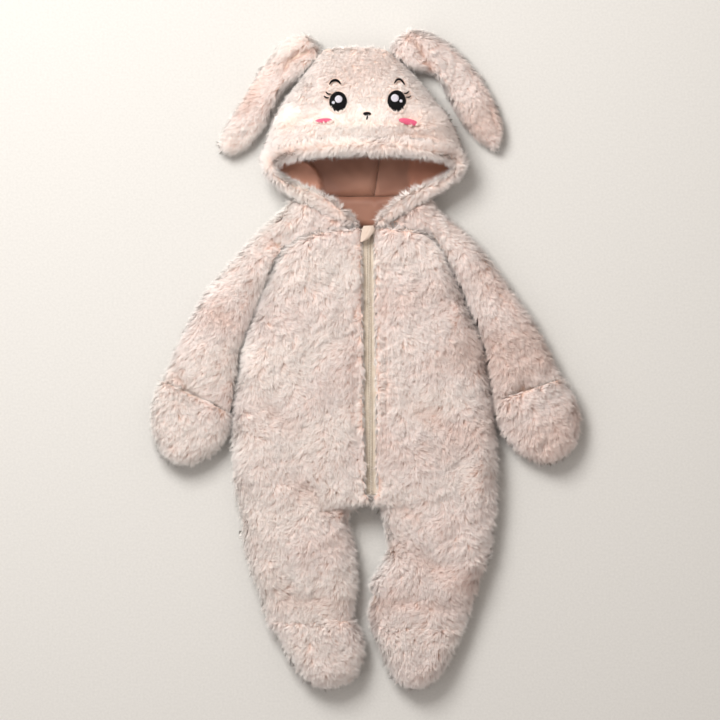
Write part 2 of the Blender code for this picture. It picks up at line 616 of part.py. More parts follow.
def band_over_face(edge):
    """Band sections along the lower edge of the hood front, from the left to the right."""
    rows = []
    for x, y, z in edge[1:-1]:
        share = (x - edge[0][0]) / (edge[-1][0] - edge[0][0])
        opening_x = OPENING_LEFT[0] + share * (OPENING_RIGHT[0] - OPENING_LEFT[0])
        opening_y = OPENING_LEFT[1] + share * (OPENING_RIGHT[1] - OPENING_LEFT[1])
        opening_y += OPENING_BOW * (1 - abs(2 * share - 1) ** BOW_POWER)
        high = max(z + BRIM_RISE, BRIM_CORNER_TOP)
        low = max(high - BRIM_DEPTH, HOOD_SEAM + 1)
        outer = moved((x, y), (opening_x, opening_y), SEAM_GAP * 1.2)
        rows.append(Band(outer[0], outer[1], opening_x, opening_y, low, high))
    return rows


def lining(collection, name, sections, columns, seams=(0, 0), top_seam=0):
    """Thin lining over the inner points of plush sections, between two columns.

    seams moves the first and the last column sideways, to part two pieces at a seam, and
    top_seam moves the first section down.
    """
    first, last = columns
    sideways = {first: seams[0], last: seams[1]}
    layers = []
    for index, (_, inner) in enumerate(sections):
        touching = []
        showing = []
        for column in range(first, last + 1):
            x, y, z = inner[column]
            side = 1 if z < HOOD_SEAM else -1
            place = (x + sideways.get(column, 0), y - (0 if index else top_seam))
            touching.append((*place, z + side * SEAM_GAP))
            showing.append((*place, z + side * (SEAM_GAP + LINING_WALL)))
        layers.append((showing, touching))
    return wall(collection, name, layers, "lining")


def drape(ground, x, y):
    """Highest point of the ground over a point in plan, in millimetres."""
    place = ground.ray_cast(Vector((x, y, OVER_ALL)) * MM, Vector((0, 0, -1)))[0]
    return place.z / MM


def ground_of(parts):
    """Search tree over the faces of several parts."""
    points = []
    polygons = []
    for part in parts:
        start = len(points)
        points += [vertex.co for vertex in part.data.vertices]
        polygons += [[start + i for i in polygon.vertices] for polygon in part.data.polygons]
    return BVHTree.FromPolygons(points, polygons)


def disc(collection, patch, ground, rings, sides, finish):
    """Embroidered round patch, draped over the ground."""
    tilt = math.radians(patch.tilt)
    plan = [(patch.x, patch.y)]
    for ring in range(1, rings + 1):
        for step in range(sides):
            angle = 2 * math.pi * step / sides
            along = patch.half_x * math.cos(angle) * ring / rings
            up = patch.half_y * math.sin(angle) * ring / rings
            plan.append((patch.x + along * math.cos(tilt) - up * math.sin(tilt),
                         patch.y + along * math.sin(tilt) + up * math.cos(tilt)))
    low = [(x, y, drape(ground, x, y) + PATCH_LIFT) for x, y in plan]
    high = [(x, y, z + EMBROIDERY_WALL) for x, y, z in low]
    count = len(plan)
    triangles = []
    for step in range(sides):
        after = (step + 1) % sides
        triangles.append((0, 1 + step, 1 + after))
        for ring in range(1, rings):
            a = 1 + (ring - 1) * sides + step
            b = 1 + (ring - 1) * sides + after
            triangles += [(a, a + sides, b + sides), (a, b + sides, b)]
    top = [tuple(count + i for i in triangle) for triangle in triangles]
    bottom = [triangle[::-1] for triangle in triangles]
    rim = []
    for step in range(sides):
        a = 1 + (rings - 1) * sides + step
        b = 1 + (rings - 1) * sides + (step + 1) % sides
        rim += [(a, b, count + b), (a, count + b, count + a)]
    points = low + high
    return add_mesh(collection, patch.name, points, facing_out(points, bottom + top + rim), finish)


def stroke(collection, line, ground, finish):
    """Embroidered line with pointed ends, draped over the ground."""
    path = [np.array(point, float) for point in line.points]
    sections = []
    for index, place in enumerate(path):
        ahead = path[min(index + 1, len(path) - 1)] - path[max(index - 1, 0)]
        normal = np.array((-ahead[1], ahead[0])) / np.linalg.norm(ahead)
        taper = STROKE_END if index in (0, len(path) - 1) else 1
        loop = []
        for side, lift in ((-1, 0), (1, 0), (1, EMBROIDERY_WALL), (-1, EMBROIDERY_WALL)):
            x, y = place + normal * side * line.width / 2 * taper
            loop.append((x, y, drape(ground, x, y) + PATCH_LIFT + lift))
        sections.append(loop)
    return bar(collection, line.name, sections, finish)


def strip(collection, name, stations, finish):
    """Flat strip through stations of (left x, right x, y, low z, high z)."""
    sections = []
    for left, right, y, low, high in stations:
        sections.append([(left, y, low), (right, y, low), (right, y, high), (left, y, high)])
    return bar(collection, name, sections, finish)


def add_body(collection):
    """Front and back panels with their legs; returns the fronts and their sections."""
    fronts = {}
    for name, rows, side in (("left", BODY_LEFT, -1), ("right", BODY_RIGHT, 1)):
        sections = front_sections(rows, side)
        part = wall(collection, "front_" + name, sections, "long_plush")
        fronts[name] = (part, sections)
        wall(collection, "back_" + name, back_sections(rows, side), "long_plush")
    return fronts


def add_limbs(collection):
    limbs = (("left", SLEEVE_LEFT, BODY_LEFT, MITTEN_LEFT, FOOT_LEFT, -1),
             ("right", SLEEVE_RIGHT, BODY_RIGHT, MITTEN_RIGHT, FOOT_RIGHT, 1))
    for name, sleeve, body, mitten, foot, side in limbs:
        wall(collection, "sleeve_" + name, sleeve_sections(sleeve, body, mitten, side),
             "long_plush")
        for layer, crown in (("top", MITTEN_CROWN), ("bottom", 0)):
            wall(collection, "mitten_" + layer + "_" + name,
                 mitten_sections(mitten, body, side, crown), "long_plush")
        for layer, crown in (("top", FOOT_CROWN), ("sole", 0)):
            wall(collection, "foot_" + layer + "_" + name, foot_sections(foot, crown),
                 "long_plush")


def add_ears(collection):
    for name, rows in (("left", EAR_LEFT), ("right", EAR_RIGHT)):
        for layer in ("front", "back"):
            sections = []
            for row in rows:
                crown = row.crown if layer == "front" else row.floor
                sections.append(half_section((row.ax, row.ay), (row.bx, row.by), EAR_SEAM,
                                             crown, EAR_WALL, EAR_ROLL,
                                             flat_steps=EAR_FLAT_STEPS))
            wall(collection, "ear_" + layer + "_" + name, sections, "long_plush")


def add_hood(collection):
    """Hood front and back, edge band and lining; returns the hood front."""
    front = hood_sections(HOOD_FRONT, False)
    back = hood_sections(HOOD_FRONT + HOOD_NAPE, True)
    face = wall(collection, "hood_front", front, "short_plush")
    wall(collection, "hood_back", back, "long_plush")
    over = band_over_face(front[-1][0])
    rows = BAND_LEFT + over + BAND_RIGHT[::-1]
    bar(collection, "hood_band", [band_loop(row) for row in rows], "short_plush")
    last = len(back[0][1]) - 1
    seam = last // 2 + 1
    behind_head = back[LINING_ROW:-1]
    lining(collection, "lining_back_left", behind_head, (1, seam), (0, -SEAM_GAP / 2))
    lining(collection, "lining_back_right", behind_head, (seam, last - 1), (SEAM_GAP / 2, 0))
    lining(collection, "lining_roof", front[LINING_ROW:], (1, last - 1))
    lining(collection, "neck_facing", back[-2:], (2, last - 2), top_seam=SEAM_GAP)
    return face


def add_zip(collection, fronts):
    """Tapes under the front edges, the closed chain, the slider and its guard."""
    chain = []
    for name, side in (("left", -1), ("right", 1)):
        stations = []
        for row, (_, inner) in zip(BODY_LEFT, fronts[name][1]):
            if row.bx:
                break
            x, y, z = inner[-1]
            edges = sorted((x + side * TAPE_LAP, zip_x(y) + side * SEAM_GAP / 2))
            high = z - SEAM_GAP
            stations.append((edges[0], edges[1], y, high - TAPE_WALL, high))
            if side < 0:
                chain.append((zip_x(y) - CHAIN_HALF, zip_x(y) + CHAIN_HALF, y,
                              high + SEAM_GAP, high + SEAM_GAP + CHAIN_HEIGHT))
        strip(collection, "zip_tape_" + name, stations, "tape")
    strip(collection, "zip_chain", chain, "zip_metal")
    add_slider(collection, chain)
    leaf = [[(*left, GUARD_LOW), (*right, GUARD_LOW), (*right, GUARD_LOW + GUARD_WALL),
             (*left, GUARD_LOW + GUARD_WALL)] for left, right in GUARD]
    bar(collection, "zip_guard", leaf, "guard")


def add_slider(collection, chain):
    """Slider that follows the top of the closed chain, narrower towards its lower end."""
    tail = SLIDER_TOP - SLIDER_LENGTH
    rising = sorted((place[2], place[4]) for place in chain)
    places, tops = zip(*rising)
    between = [y for y in places if tail < y < SLIDER_TOP]
    stations = []
    for y in (tail, *between, SLIDER_TOP):
        half = np.interp(y, (tail, SLIDER_TOP), (SLIDER_TAIL_HALF, SLIDER_HALF))
        low = np.interp(y, places, tops) + SEAM_GAP
        stations.append((zip_x(y) - half, zip_x(y) + half, y, low, low + SLIDER_HEIGHT))
    strip(collection, "zip_slider", stations, "zip_metal")


def add_label(collection):
    """Blank tab that stands out of the left side seam."""
    x, y = LABEL_PLACE
    length, width, height = LABEL_SIZE
    low = BODY_SEAM - height / 2
    ends = [(x - length, x, y - width / 2, low, low + height),
            (x - length, x, y + width / 2, low, low + height)]
    strip(collection, "side_label", ends, "label")


def build():
    clear_scene()
    collection = bpy.data.collections.new("animal_onesie")
    bpy.context.scene.collection.children.link(collection)
    fronts = add_body(collection)
    add_limbs(collection)
    add_ears(collection)
    face = add_hood(collection)
    add_zip(collection, fronts)
    add_label(collection)
    ground = ground_of([face])
    eyes = [disc(collection, patch, ground, 3, 16, "thread_black") for patch in EYES]
    eye_ground = ground_of(eyes)
    for patch in GLINTS:
        disc(collection, patch, eye_ground, 1, 10, "thread_white")
    for patch in CHEEKS:
        disc(collection, patch, ground, 2, 14, "thread_pink")
    disc(collection, NOSE, ground, 1, 12, "thread_black")
    for line in STROKES:
        stroke(collection, line, ground, "thread_black")


build()
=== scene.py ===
"""Looks of a hooded plush rabbit onesie for a baby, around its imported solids.

Every plush piece is a thin skin on the form of its solid, and its pile is a mesh of short
blades that grow out of the skin in tufts.  Lengths are in millimetres unless a comment
says otherwise; the scene itself is in metres.
"""
import math
from collections import namedtuple

import bmesh
import bpy
import numpy as np
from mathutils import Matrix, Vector
from mathutils.bvhtree import BVHTree


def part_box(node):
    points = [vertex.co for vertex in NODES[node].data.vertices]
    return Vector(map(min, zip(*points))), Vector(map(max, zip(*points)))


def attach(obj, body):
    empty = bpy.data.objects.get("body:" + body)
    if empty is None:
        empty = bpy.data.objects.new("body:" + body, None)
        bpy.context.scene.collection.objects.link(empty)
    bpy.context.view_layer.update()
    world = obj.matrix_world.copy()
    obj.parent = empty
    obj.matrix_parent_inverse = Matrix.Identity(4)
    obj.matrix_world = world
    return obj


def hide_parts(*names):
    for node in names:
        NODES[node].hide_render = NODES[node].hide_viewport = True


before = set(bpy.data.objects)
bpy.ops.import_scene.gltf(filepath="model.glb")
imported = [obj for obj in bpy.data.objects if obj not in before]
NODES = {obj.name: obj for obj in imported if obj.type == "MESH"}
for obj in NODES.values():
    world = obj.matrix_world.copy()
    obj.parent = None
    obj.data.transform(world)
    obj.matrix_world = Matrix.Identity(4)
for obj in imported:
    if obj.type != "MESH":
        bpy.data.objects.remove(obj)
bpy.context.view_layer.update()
MM = 0.001
RNG = np.random.default_rng(7)

# Picture: 1.25 mm for each pixel, middle of the picture at this point of the garment
PICTURE_MM = 900.0
PICTURE_MIDDLE = (-7.5, -3.75)
CAMERA_HEIGHT = 8000.0
SENSOR = 36.0

# Pile: half width of a blade at its root and radius of a tuft, then how the tufts stand
LONG_TUFT = (0.54, 2.8)
SHORT_TUFT = (0.42, 2.2)
BLADES_IN_TUFT = 8
TUFT_SPREAD = 0.35           # how far the tips of a tuft lie apart, as a share of its roots
TUFTS_PER_MM2 = 0.25
ROOT_SHADE = 0.18            # share of the way to the tip's colour at a blade's root: painted shade of the gaps between tufts
UNDER_SHARE = 0.05           # tufts where a piece lies on the surface
LARGEST_PILE = 10800         # tufts in one piece of pile

# Cloth
SHARP = math.radians(52)     # the edge between the outside and the rim of a cut piece
REST_INSET = 0.8             # how far the skin lies inside the solid where it rests
LOWEST = 0.2                 # skins end this high above the floor
LOWEST_BLADE = 0.1
SLIVER = 0.02                # faces under this area are left out of the search, in mm2


def linear(red, green, blue):
    """Linear colour of a screen colour from 0 to 255."""
    def one(value):
        value /= 255
        return value / 12.92 if value <= 0.04045 else ((value + 0.055) / 1.055) ** 2.4
    return one(red), one(green), one(blue), 1.0


def smooth_noise(seed, size, octaves=7):
    """Function of x and y that waves smoothly between about -1 and 1 over a size."""
    source = np.random.default_rng(seed)
    angles = source.uniform(0, 2 * math.pi, octaves)
    phases = source.uniform(0, 2 * math.pi, octaves)
    rates = 2 * math.pi / size * source.uniform(0.6, 1.5, octaves)

    def value(x, y):
        total = 0.0
        for angle, phase, rate in zip(angles, phases, rates):
            total = total + np.sin(rate * (x * math.cos(angle) + y * math.sin(angle)) + phase)
        return total / math.sqrt(octaves / 2) / 1.6
    return value


SWIRL = smooth_noise(3, 95)
WHIRL = smooth_noise(4, 34)
RUFFLE = smooth_noise(5, 13)
LUMPS = smooth_noise(6, 46)
DENTS = smooth_noise(8, 21)
TONE = smooth_noise(9, 120)


# ---- materials

def new_material(name):
    material = bpy.data.materials.new(name)
    material.use_nodes = True
    return material, material.node_tree


def shader_of(tree, roughness, **numbers):
    shader = tree.nodes["Principled BSDF"]
    shader.inputs["Roughness"].default_value = roughness
    for key, value in numbers.items():
        shader.inputs[key.replace("_", " ")].default_value = value
    return shader


def texture_place(tree, turn=0.0):
    """Object coordinates in millimetres, turned about the Z axis."""
    place = tree.nodes.new("ShaderNodeTexCoord")
    mapping = tree.nodes.new("ShaderNodeMapping")
    mapping.inputs["Scale"].default_value = (1 / MM, 1 / MM, 1 / MM)
    mapping.inputs["Rotation"].default_value = (0, 0, turn)
    tree.links.new(place.outputs["Object"], mapping.inputs["Vector"])
    return mapping.outputs["Vector"]


def noise(tree, place, size, detail=3.0):
    """Noise with features of a size in millimetres."""
    node = tree.nodes.new("ShaderNodeTexNoise")
    node.inputs["Scale"].default_value = 1 / size
    node.inputs["Detail"].default_value = detail
    tree.links.new(place, node.inputs["Vector"])
    return node.outputs["Fac"]


def ramp(tree, factor, stops):
    node = tree.nodes.new("ShaderNodeValToRGB")
    elements = node.color_ramp.elements
    while len(elements) < len(stops):
        elements.new(0.5)
    for element, (at, colour) in zip(elements, stops):
        element.position = at
        element.color = colour
    tree.links.new(factor, node.inputs["Fac"])
    return node.outputs["Color"]


def mixed(tree, factor, first, second, blend="MIX"):
    """Mix of two colours; a factor, first or second is a socket or a value."""
    node = tree.nodes.new("ShaderNodeMix")
    node.data_type = "RGBA"
    node.blend_type = blend
    for key, value in ((0, factor), (6, first), (7, second)):
        if hasattr(value, "is_linked"):
            tree.links.new(value, node.inputs[key])
        else:
            node.inputs[key].default_value = value
    return node.outputs[2]


def bump(tree, shader, heights, depth):
    """Bump of the shader from heights from 0 to 1, depth in millimetres."""
    node = tree.nodes.new("ShaderNodeBump")
    node.inputs["Strength"].default_value = 1.0
    node.inputs["Distance"].default_value = depth * MM
    tree.links.new(heights, node.inputs["Height"])
    tree.links.new(node.outputs["Normal"], shader.inputs["Normal"])


def pile_material(name, root, middle, tip):
    """Blades of pile: darker at the root, which is painted shade, and each tuft a little different.
    """
    material, tree = new_material(name)
    shader = shader_of(tree, 0.8, Sheen_Weight=0.25, Sheen_Roughness=0.5)
    shader.inputs["Specular IOR Level"].default_value = 0.2
    pile = tree.nodes.new("ShaderNodeVertexColor")
    pile.layer_name = "pile"
    parts = tree.nodes.new("ShaderNodeSeparateColor")
    tree.links.new(pile.outputs["Color"], parts.inputs["Color"])
    # the root colour is painted shade of the gaps between tufts; middle and tip are the plush's own
    # colour
    along = ramp(tree, parts.outputs["Red"], ((0, root), (0.5, middle), (1, tip)))
    tuft = ramp(tree, parts.outputs["Green"],
                ((0, (0.86, 0.83, 0.81, 1)), (0.6, (1, 1, 1, 1)), (1, (1, 1, 1, 1))))
    own = mixed(tree, 1.0, along, tuft, "MULTIPLY")
    # broad tone from the blue channel: random, with painted shade towards the right and around
    # listed spots
    broad = ramp(tree, parts.outputs["Blue"],
                 ((0, (0.89, 0.8, 0.77, 1)), (0.5, (0.975, 0.945, 0.945, 1)),
                  (1, (0.99, 0.98, 0.975, 1))))
    tree.links.new(mixed(tree, 1.0, own, broad, "MULTIPLY"), shader.inputs["Base Color"])
    return material


def backing_material(name, dark, light):
    """Short dense pile under the tufts."""
    material, tree = new_material(name)
    shader = shader_of(tree, 0.95, Sheen_Weight=0.3)
    place = texture_place(tree)
    fine = noise(tree, place, 2.2)
    tree.links.new(ramp(tree, fine, ((0.3, dark), (0.7, light))), shader.inputs["Base Color"])
    bump(tree, shader, fine, 1.2)
    return material


def satin_material():
    material, tree = new_material("satin_lining")
    shader = shader_of(tree, 0.5, Sheen_Weight=0.35, Sheen_Roughness=0.35)
    place = texture_place(tree)
    cloudy = noise(tree, place, 45, 2)
    plain = ramp(tree, cloudy, ((0.3, linear(146, 100, 82)), (0.7, linear(178, 128, 106))))
    # the "side" colour holds painted light and shade on the lining's panels
    side = tree.nodes.new("ShaderNodeVertexColor")
    side.layer_name = "side"
    tree.links.new(mixed(tree, 1.0, plain, side.outputs["Color"], "MULTIPLY"),
                   shader.inputs["Base Color"])
    weave = tree.nodes.new("ShaderNodeTexWave")
    weave.inputs["Scale"].default_value = 0.9
    weave.inputs["Distortion"].default_value = 1.5
    tree.links.new(place, weave.inputs["Vector"])
    bump(tree, shader, weave.outputs["Fac"], 0.06)
    return material


def woven_material(name, dark, light, pitch, depth, roughness=0.75):
    """Plain woven cloth with threads of a pitch in millimetres."""
    material, tree = new_material(name)
    shader = shader_of(tree, roughness, Sheen_Weight=0.2)
    place = texture_place(tree)
    waves = []
    for direction in ("X", "Y"):
        wave = tree.nodes.new("ShaderNodeTexWave")
        wave.bands_direction = direction
        wave.inputs["Scale"].default_value = 0.314 / pitch
        wave.inputs["Distortion"].default_value = 0.4
        tree.links.new(place, wave.inputs["Vector"])
        waves.append(wave.outputs["Fac"])
    weave = tree.nodes.new("ShaderNodeMath")
    weave.operation = "MULTIPLY"
    tree.links.new(waves[0], weave.inputs[0])
    tree.links.new(waves[1], weave.inputs[1])
    patchy = noise(tree, place, 9)
    both = mixed(tree, 0.5, patchy, weave.outputs[0])
    tree.links.new(ramp(tree, both, ((0.2, dark), (0.7, light))), shader.inputs["Base Color"])
    bump(tree, shader, weave.outputs[0], depth)
    return material


def thread_material(name, dark, light, tilt):
    """Satin stitch: fine parallel threads at an angle."""
    material, tree = new_material(name)
    shader = shader_of(tree, 0.5)
    shader.inputs["Specular IOR Level"].default_value = 0.15
    wave = tree.nodes.new("ShaderNodeTexWave")
    wave.inputs["Scale"].default_value = 0.75
    wave.inputs["Distortion"].default_value = 0.8
    wave.inputs["Detail"].default_value = 1.0
    tree.links.new(texture_place(tree, tilt), wave.inputs["Vector"])
    tree.links.new(ramp(tree, wave.outputs["Fac"], ((0.1, dark), (0.8, light))),
                   shader.inputs["Base Color"])
    bump(tree, shader, wave.outputs["Fac"], 0.22)
    return material


def metal_material():
    material, tree = new_material("zip_teeth")
    shader = shader_of(tree, 0.42)
    place = texture_place(tree)
    worn = noise(tree, place, 3)
    pale = ramp(tree, worn, ((0.3, linear(226, 212, 194)), (0.7, linear(248, 240, 228))))
    tree.links.new(pale, shader.inputs["Base Color"])
    bump(tree, shader, worn, 0.08)
    return material


# Root colours are painted shade down between the tufts; middle and tip colours are the plush's own
LONG_PILE = pile_material("long_pile", linear(216, 174, 154), linear(250, 234, 226),
                          linear(255, 253, 250))
SHORT_PILE = pile_material("short_pile", linear(238, 210, 194), linear(254, 242, 234),
                           linear(255, 253, 250))
LONG_BACKING = backing_material("long_backing", linear(220, 180, 158), linear(244, 220, 206))
SHORT_BACKING = backing_material("short_backing", linear(236, 206, 190), linear(250, 231, 220))
SATIN = satin_material()
GUARD_CLOTH = woven_material("guard_cloth", linear(206, 184, 168), linear(238, 222, 208), 0.5,
                             0.1, 0.6)
TAPE_CLOTH = woven_material("tape_cloth", linear(200, 184, 166), linear(236, 225, 208), 0.9, 0.2)
LABEL_CLOTH = woven_material("label_cloth", linear(226, 222, 216), linear(250, 248, 244), 0.4,
                             0.08)
BLACK_THREAD = thread_material("stitch_black", linear(3, 3, 4), linear(24, 22, 26), 0.5)
WHITE_THREAD = thread_material("stitch_white", linear(196, 190, 206), linear(252, 250, 255), 0.9)
PINK_THREAD = thread_material("stitch_pink", linear(226, 84, 122), linear(255, 128, 158), 1.2)
ZIP_TEETH = metal_material()
KNIT = woven_material("knit_back", linear(214, 190, 174), linear(238, 220, 206), 1.2, 0.2)


# ---- mesh tools

def placed(name, data):
    """Object of a mesh, a lamp or a camera, in the scene."""
    piece = bpy.data.objects.new(name, data)
    bpy.context.scene.collection.objects.link(piece)
    return piece


def show(piece, node=None):
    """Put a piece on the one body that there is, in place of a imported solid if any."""
    if node:
        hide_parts(node)
    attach(piece, "root")


def fast_mesh(name, points, triangles, material):
    """Object from numpy arrays of points in millimetres and of triangles."""
    mesh = bpy.data.meshes.new(name)
    mesh.vertices.add(len(points))
    mesh.vertices.foreach_set("co", (points * MM).astype(np.float32).ravel())
    mesh.loops.add(triangles.size)
    mesh.loops.foreach_set("vertex_index", triangles.astype(np.int32).ravel())
    mesh.polygons.add(len(triangles))
    mesh.polygons.foreach_set("loop_start", np.arange(0, triangles.size, 3, dtype=np.int32))
    mesh.polygons.foreach_set("use_smooth", np.ones(len(triangles), dtype=bool))
    mesh.update(calc_edges=True)
    mesh.materials.append(material)
    return placed(name, mesh)


def all_vectors(items, field):
    """Array of the vectors in one field of a mesh's vertices or normals."""
    values = np.empty(len(items) * 3, dtype=np.float32)
    items.foreach_get(field, values)
    return values.reshape(-1, 3).astype(float)


def finish_cloth(mesh, points, *materials):
    """Move the mesh to points in millimetres, and give it its materials and smooth shading."""
    mesh.vertices.foreach_set("co", (points * MM).astype(np.float32).ravel())
    for material in materials:
        mesh.materials.append(material)
    mesh.shade_smooth()
    mesh.update()


def mesh_of(work, name, material):
    """Mesh in metres of a bmesh in millimetres, which is used up."""
    for vertex in work.verts:
        vertex.co *= MM
    mesh = bpy.data.meshes.new(name)
    work.to_mesh(mesh)
    work.free()
    mesh.materials.append(material)
    return mesh


def welded(name):
    """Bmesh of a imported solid, in millimetres, with whole faces instead of triangles."""
    work = bmesh.new()
    work.from_mesh(NODES[name].data)
    for vertex in work.verts:
        vertex.co /= MM
    bmesh.ops.remove_doubles(work, verts=work.verts, dist=0.02)
    bmesh.ops.join_triangles(work, faces=work.faces, angle_face_threshold=0.7,
                             angle_shape_threshold=1.4)
    bmesh.ops.recalc_face_normals(work, faces=work.faces)
    return work


def outside_faces(work, under):
    """Faces of the outside: joined to the outermost face without a sharp edge."""
    solid = [face for face in work.faces if face.calc_area() > SLIVER]
    pick = min if under else max
    start = pick(solid, key=lambda face: face.calc_center_median().z)
    found = {start}
    queue = [start]
    while queue:
        face = queue.pop()
        for edge in face.edges:
            if len(edge.link_faces) != 2:
                continue
            for other in edge.link_faces:
                if other in found or other.calc_area() <= SLIVER:
                    continue
                if face.normal.angle(other.normal) < SHARP:
                    found.add(other)
                    queue.append(other)
    return found


def subdivided(work, levels, name):
    """Mesh of the bmesh after Catmull-Clark steps, with its sharp edges kept."""
    crease = work.edges.layers.float.new("crease_edge")
    for edge in work.edges:
        if len(edge.link_faces) != 2 or edge.calc_face_angle(0) > SHARP:
            edge[crease] = 1.0
    mesh = bpy.data.meshes.new(name)
    work.to_mesh(mesh)
    work.free()
    carrier = placed(name + "_carrier", mesh)
    modifier = carrier.modifiers.new("steps", "SUBSURF")
    modifier.levels = levels
    bpy.context.view_layer.update()
    done = bpy.data.meshes.new_from_object(
        carrier.evaluated_get(bpy.context.evaluated_depsgraph_get()))
    bpy.data.objects.remove(carrier, do_unlink=True)
    bpy.data.meshes.remove(mesh)
    return done


def segment_distance(points, start, end):
    """Distance of plan points from a segment, signed by the side, and the share along it."""
    start = np.array(start, float)
    along = np.array(end, float) - start
    offset = points - start
    share = np.clip(offset @ along / (along @ along), 0, 1)
    away = offset - share[:, None] * along
    side = np.sign(along[0] * offset[:, 1] - along[1] * offset[:, 0])
    return np.linalg.norm(away, axis=1) * side, share


Crease = namedtuple("Crease", "x0 y0 x1 y1 width depth")


def creases(*rows):
    return [Crease(*row) for row in rows]


def crease_heights(points, lines):
    """What creases (below 0) and ridges add to the height of plan points."""
    total = np.zeros(len(points))
    for crease in lines:
        distance, share = segment_distance(points, (crease.x0, crease.y0),
                                           (crease.x1, crease.y1))
        fade = np.sin(math.pi * np.clip(share * 0.9 + 0.05, 0, 1)) ** 0.5
        total += crease.depth * fade * np.exp(-(distance / crease.width) ** 2)
    return total


def top_finder(name):
    """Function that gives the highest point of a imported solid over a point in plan, or None."""
    work = bmesh.new()
    work.from_mesh(NODES[name].data)
    tree = BVHTree.FromBMesh(work)
    work.free()

    def height(x, y):
        found = tree.ray_cast(Vector((x * MM, y * MM, 0.3)), Vector((0, 0, -1)))[0]
        return None if found is None else found.z / MM
    return height


# ---- cloth skins

Cloth = namedtuple("Cloth", "node levels inset length lean flow swirl fill creases short",
                   defaults=((), False))
DOWN = (0.03, -1.0)

ZIP_LEFT_CREASES = creases(
    (-14, 60, -13, -125, 4, -3.0), (-57, -190, -20, -188, 5, -5), (-95, -150, -60, -175, 12, -3),
    (-60, 60, -30, -20, 14, 2), (-130, -60, -90, -85, 12, -2.5), (-100, -225, -45, -255, 12, 2.5),
    (-110, -300, -30, -300, 9, -2.5))
ZIP_RIGHT_CREASES = creases(
    (23, 130, 24, -150, 4, -2.6), (60, 40, 120, 10, 12, 2), (40, -180, 70, -200, 9, -3),
    (60, -60, 120, -90, 14, -2.5), (50, -240, 110, -270, 12, -3), (20, -300, 110, -310, 9, -2.5))
LEFT_FLAP = creases((-257, -33, -167, -74, 5, 3.5), (-220, -60, -178, -80, 5, 2.5),
                    (-240, -50, -190, -68, 4, -2.0))
RIGHT_FLAP = creases((240, -32, 205, -54, 5, 3.5), (205, -54, 160, -60, 5, 3.0),
                     (232, -50, 170, -72, 5, 2.5), (228, -45, 180, -62, 4, -2.0))
HOOD_CREASES = creases(
    (-106, 284, -82, 294, 5, -5), (-82, 294, -55, 298, 4, -4.5), (-45, 288, 45, 287, 7, 3.5),
    (36, 278, 92, 272, 5, -5), (-40, 268, 30, 268, 6, -2.5), (-18, 300, 18, 299, 7, 1.5))
EAR_LEFT_CREASES = creases((-93, 372, -68, 384, 5, -11), (-104, 352, -93, 372, 5, -6),
                           (-112, 372, -160, 290, 9, -2), (-150, 300, -168, 268, 8, 2))
EAR_RIGHT_CREASES = creases(
    (55, 398, 66, 383, 5, -8), (66, 383, 82, 356, 5, -7), (80, 396, 121, 365, 2.4, -2.4),
    (121, 365, 149, 324, 2.4, -2.4), (149, 324, 160, 285, 2.4, -2))
SLEEVE_LEFT_CREASES = creases((-118, 150, -100, 133, 5, -7), (-233, -20, -219, -40, 5, -6),
                              (-190, 60, -160, 40, 9, -2.5), (-215, 20, -180, 0, 9, 2.5))
SLEEVE_RIGHT_CREASES = creases((192, -30, 197, -52, 5, -6), (150, 95, 180, 60, 9, -2.5),
                               (175, 30, 205, 15, 9, 2.5), (95, 170, 120, 150, 6, -2))


def cloth_pair(kind, levels, inset, length, lean, flows, swirl, fill, left=(), right=()):
    """The left and the right piece of a kind."""
    return [Cloth(kind + side, levels, inset, length, lean, flow, swirl, fill, lines)
            for side, flow, lines in zip(("_left", "_right"), flows, (left, right))]


def outward(x, y):
    """Directions of the pile for a left and a right piece."""
    return (-x, y), (x, y)


CLOTHS = [
    *cloth_pair("front", 2, 5.0, 11.0, 60, (DOWN, DOWN), 0.85, 1.0, ZIP_LEFT_CREASES,
                ZIP_RIGHT_CREASES),
    *cloth_pair("back", 1, 5.0, 11.0, 60, (DOWN, DOWN), 0.5, 0.5),
    *cloth_pair("sleeve", 2, 5.0, 10.5, 60, outward(0.5, -0.86), 0.6, 0.9,
                SLEEVE_LEFT_CREASES, SLEEVE_RIGHT_CREASES),
    *cloth_pair("mitten_top", 2, 4.5, 10.0, 57, outward(0.15, -1), 0.7, 1.0, LEFT_FLAP,
                RIGHT_FLAP),
    *cloth_pair("mitten_bottom", 1, 4.5, 10.0, 57, outward(0.15, -1), 0.4, 0.6),
    *cloth_pair("foot_top", 2, 4.5, 10.0, 57, outward(-0.1, -1), 0.6, 1.0),
    *cloth_pair("foot_sole", 1, 4.5, 10.0, 57, outward(-0.1, -1), 0.4, 0.6),
    *cloth_pair("ear_front", 2, 4.0, 8.5, 60, outward(0.62, -0.78), 0.45, 1.1,
                EAR_LEFT_CREASES, EAR_RIGHT_CREASES),
    *cloth_pair("ear_back", 1, 4.0, 8.5, 60, outward(0.62, -0.78), 0.4, 0.6),
    Cloth("hood_front", 2, 3.2, 5.8, 64, None, 0.45, 1.7, HOOD_CREASES, True),
    Cloth("hood_back", 1, 5.0, 9.0, 60, DOWN, 0.4, 0.6),
    Cloth("hood_band", 1, 3.6, 9.5, 50, None, 0.6, 1.3, (), True)]
# Painted shade on stretches of the plush: place, reach, and how far the tone drops
PAINTED_SHADE_SPOTS = ((-178, 55, 34, 0.7), (-148, 315, 34, 0.5), (175, 30, 55, 0.5),
              (60, -290, 60, 0.25), (140, 330, 50, 0.2), (222, -95, 50, 0.3))


def flat_share(upward):
    """0 where the cloth lies flat on the surface, 1 elsewhere, from its normal's height."""
    return 1 - np.clip((-upward - 0.55) / 0.3, 0, 1)


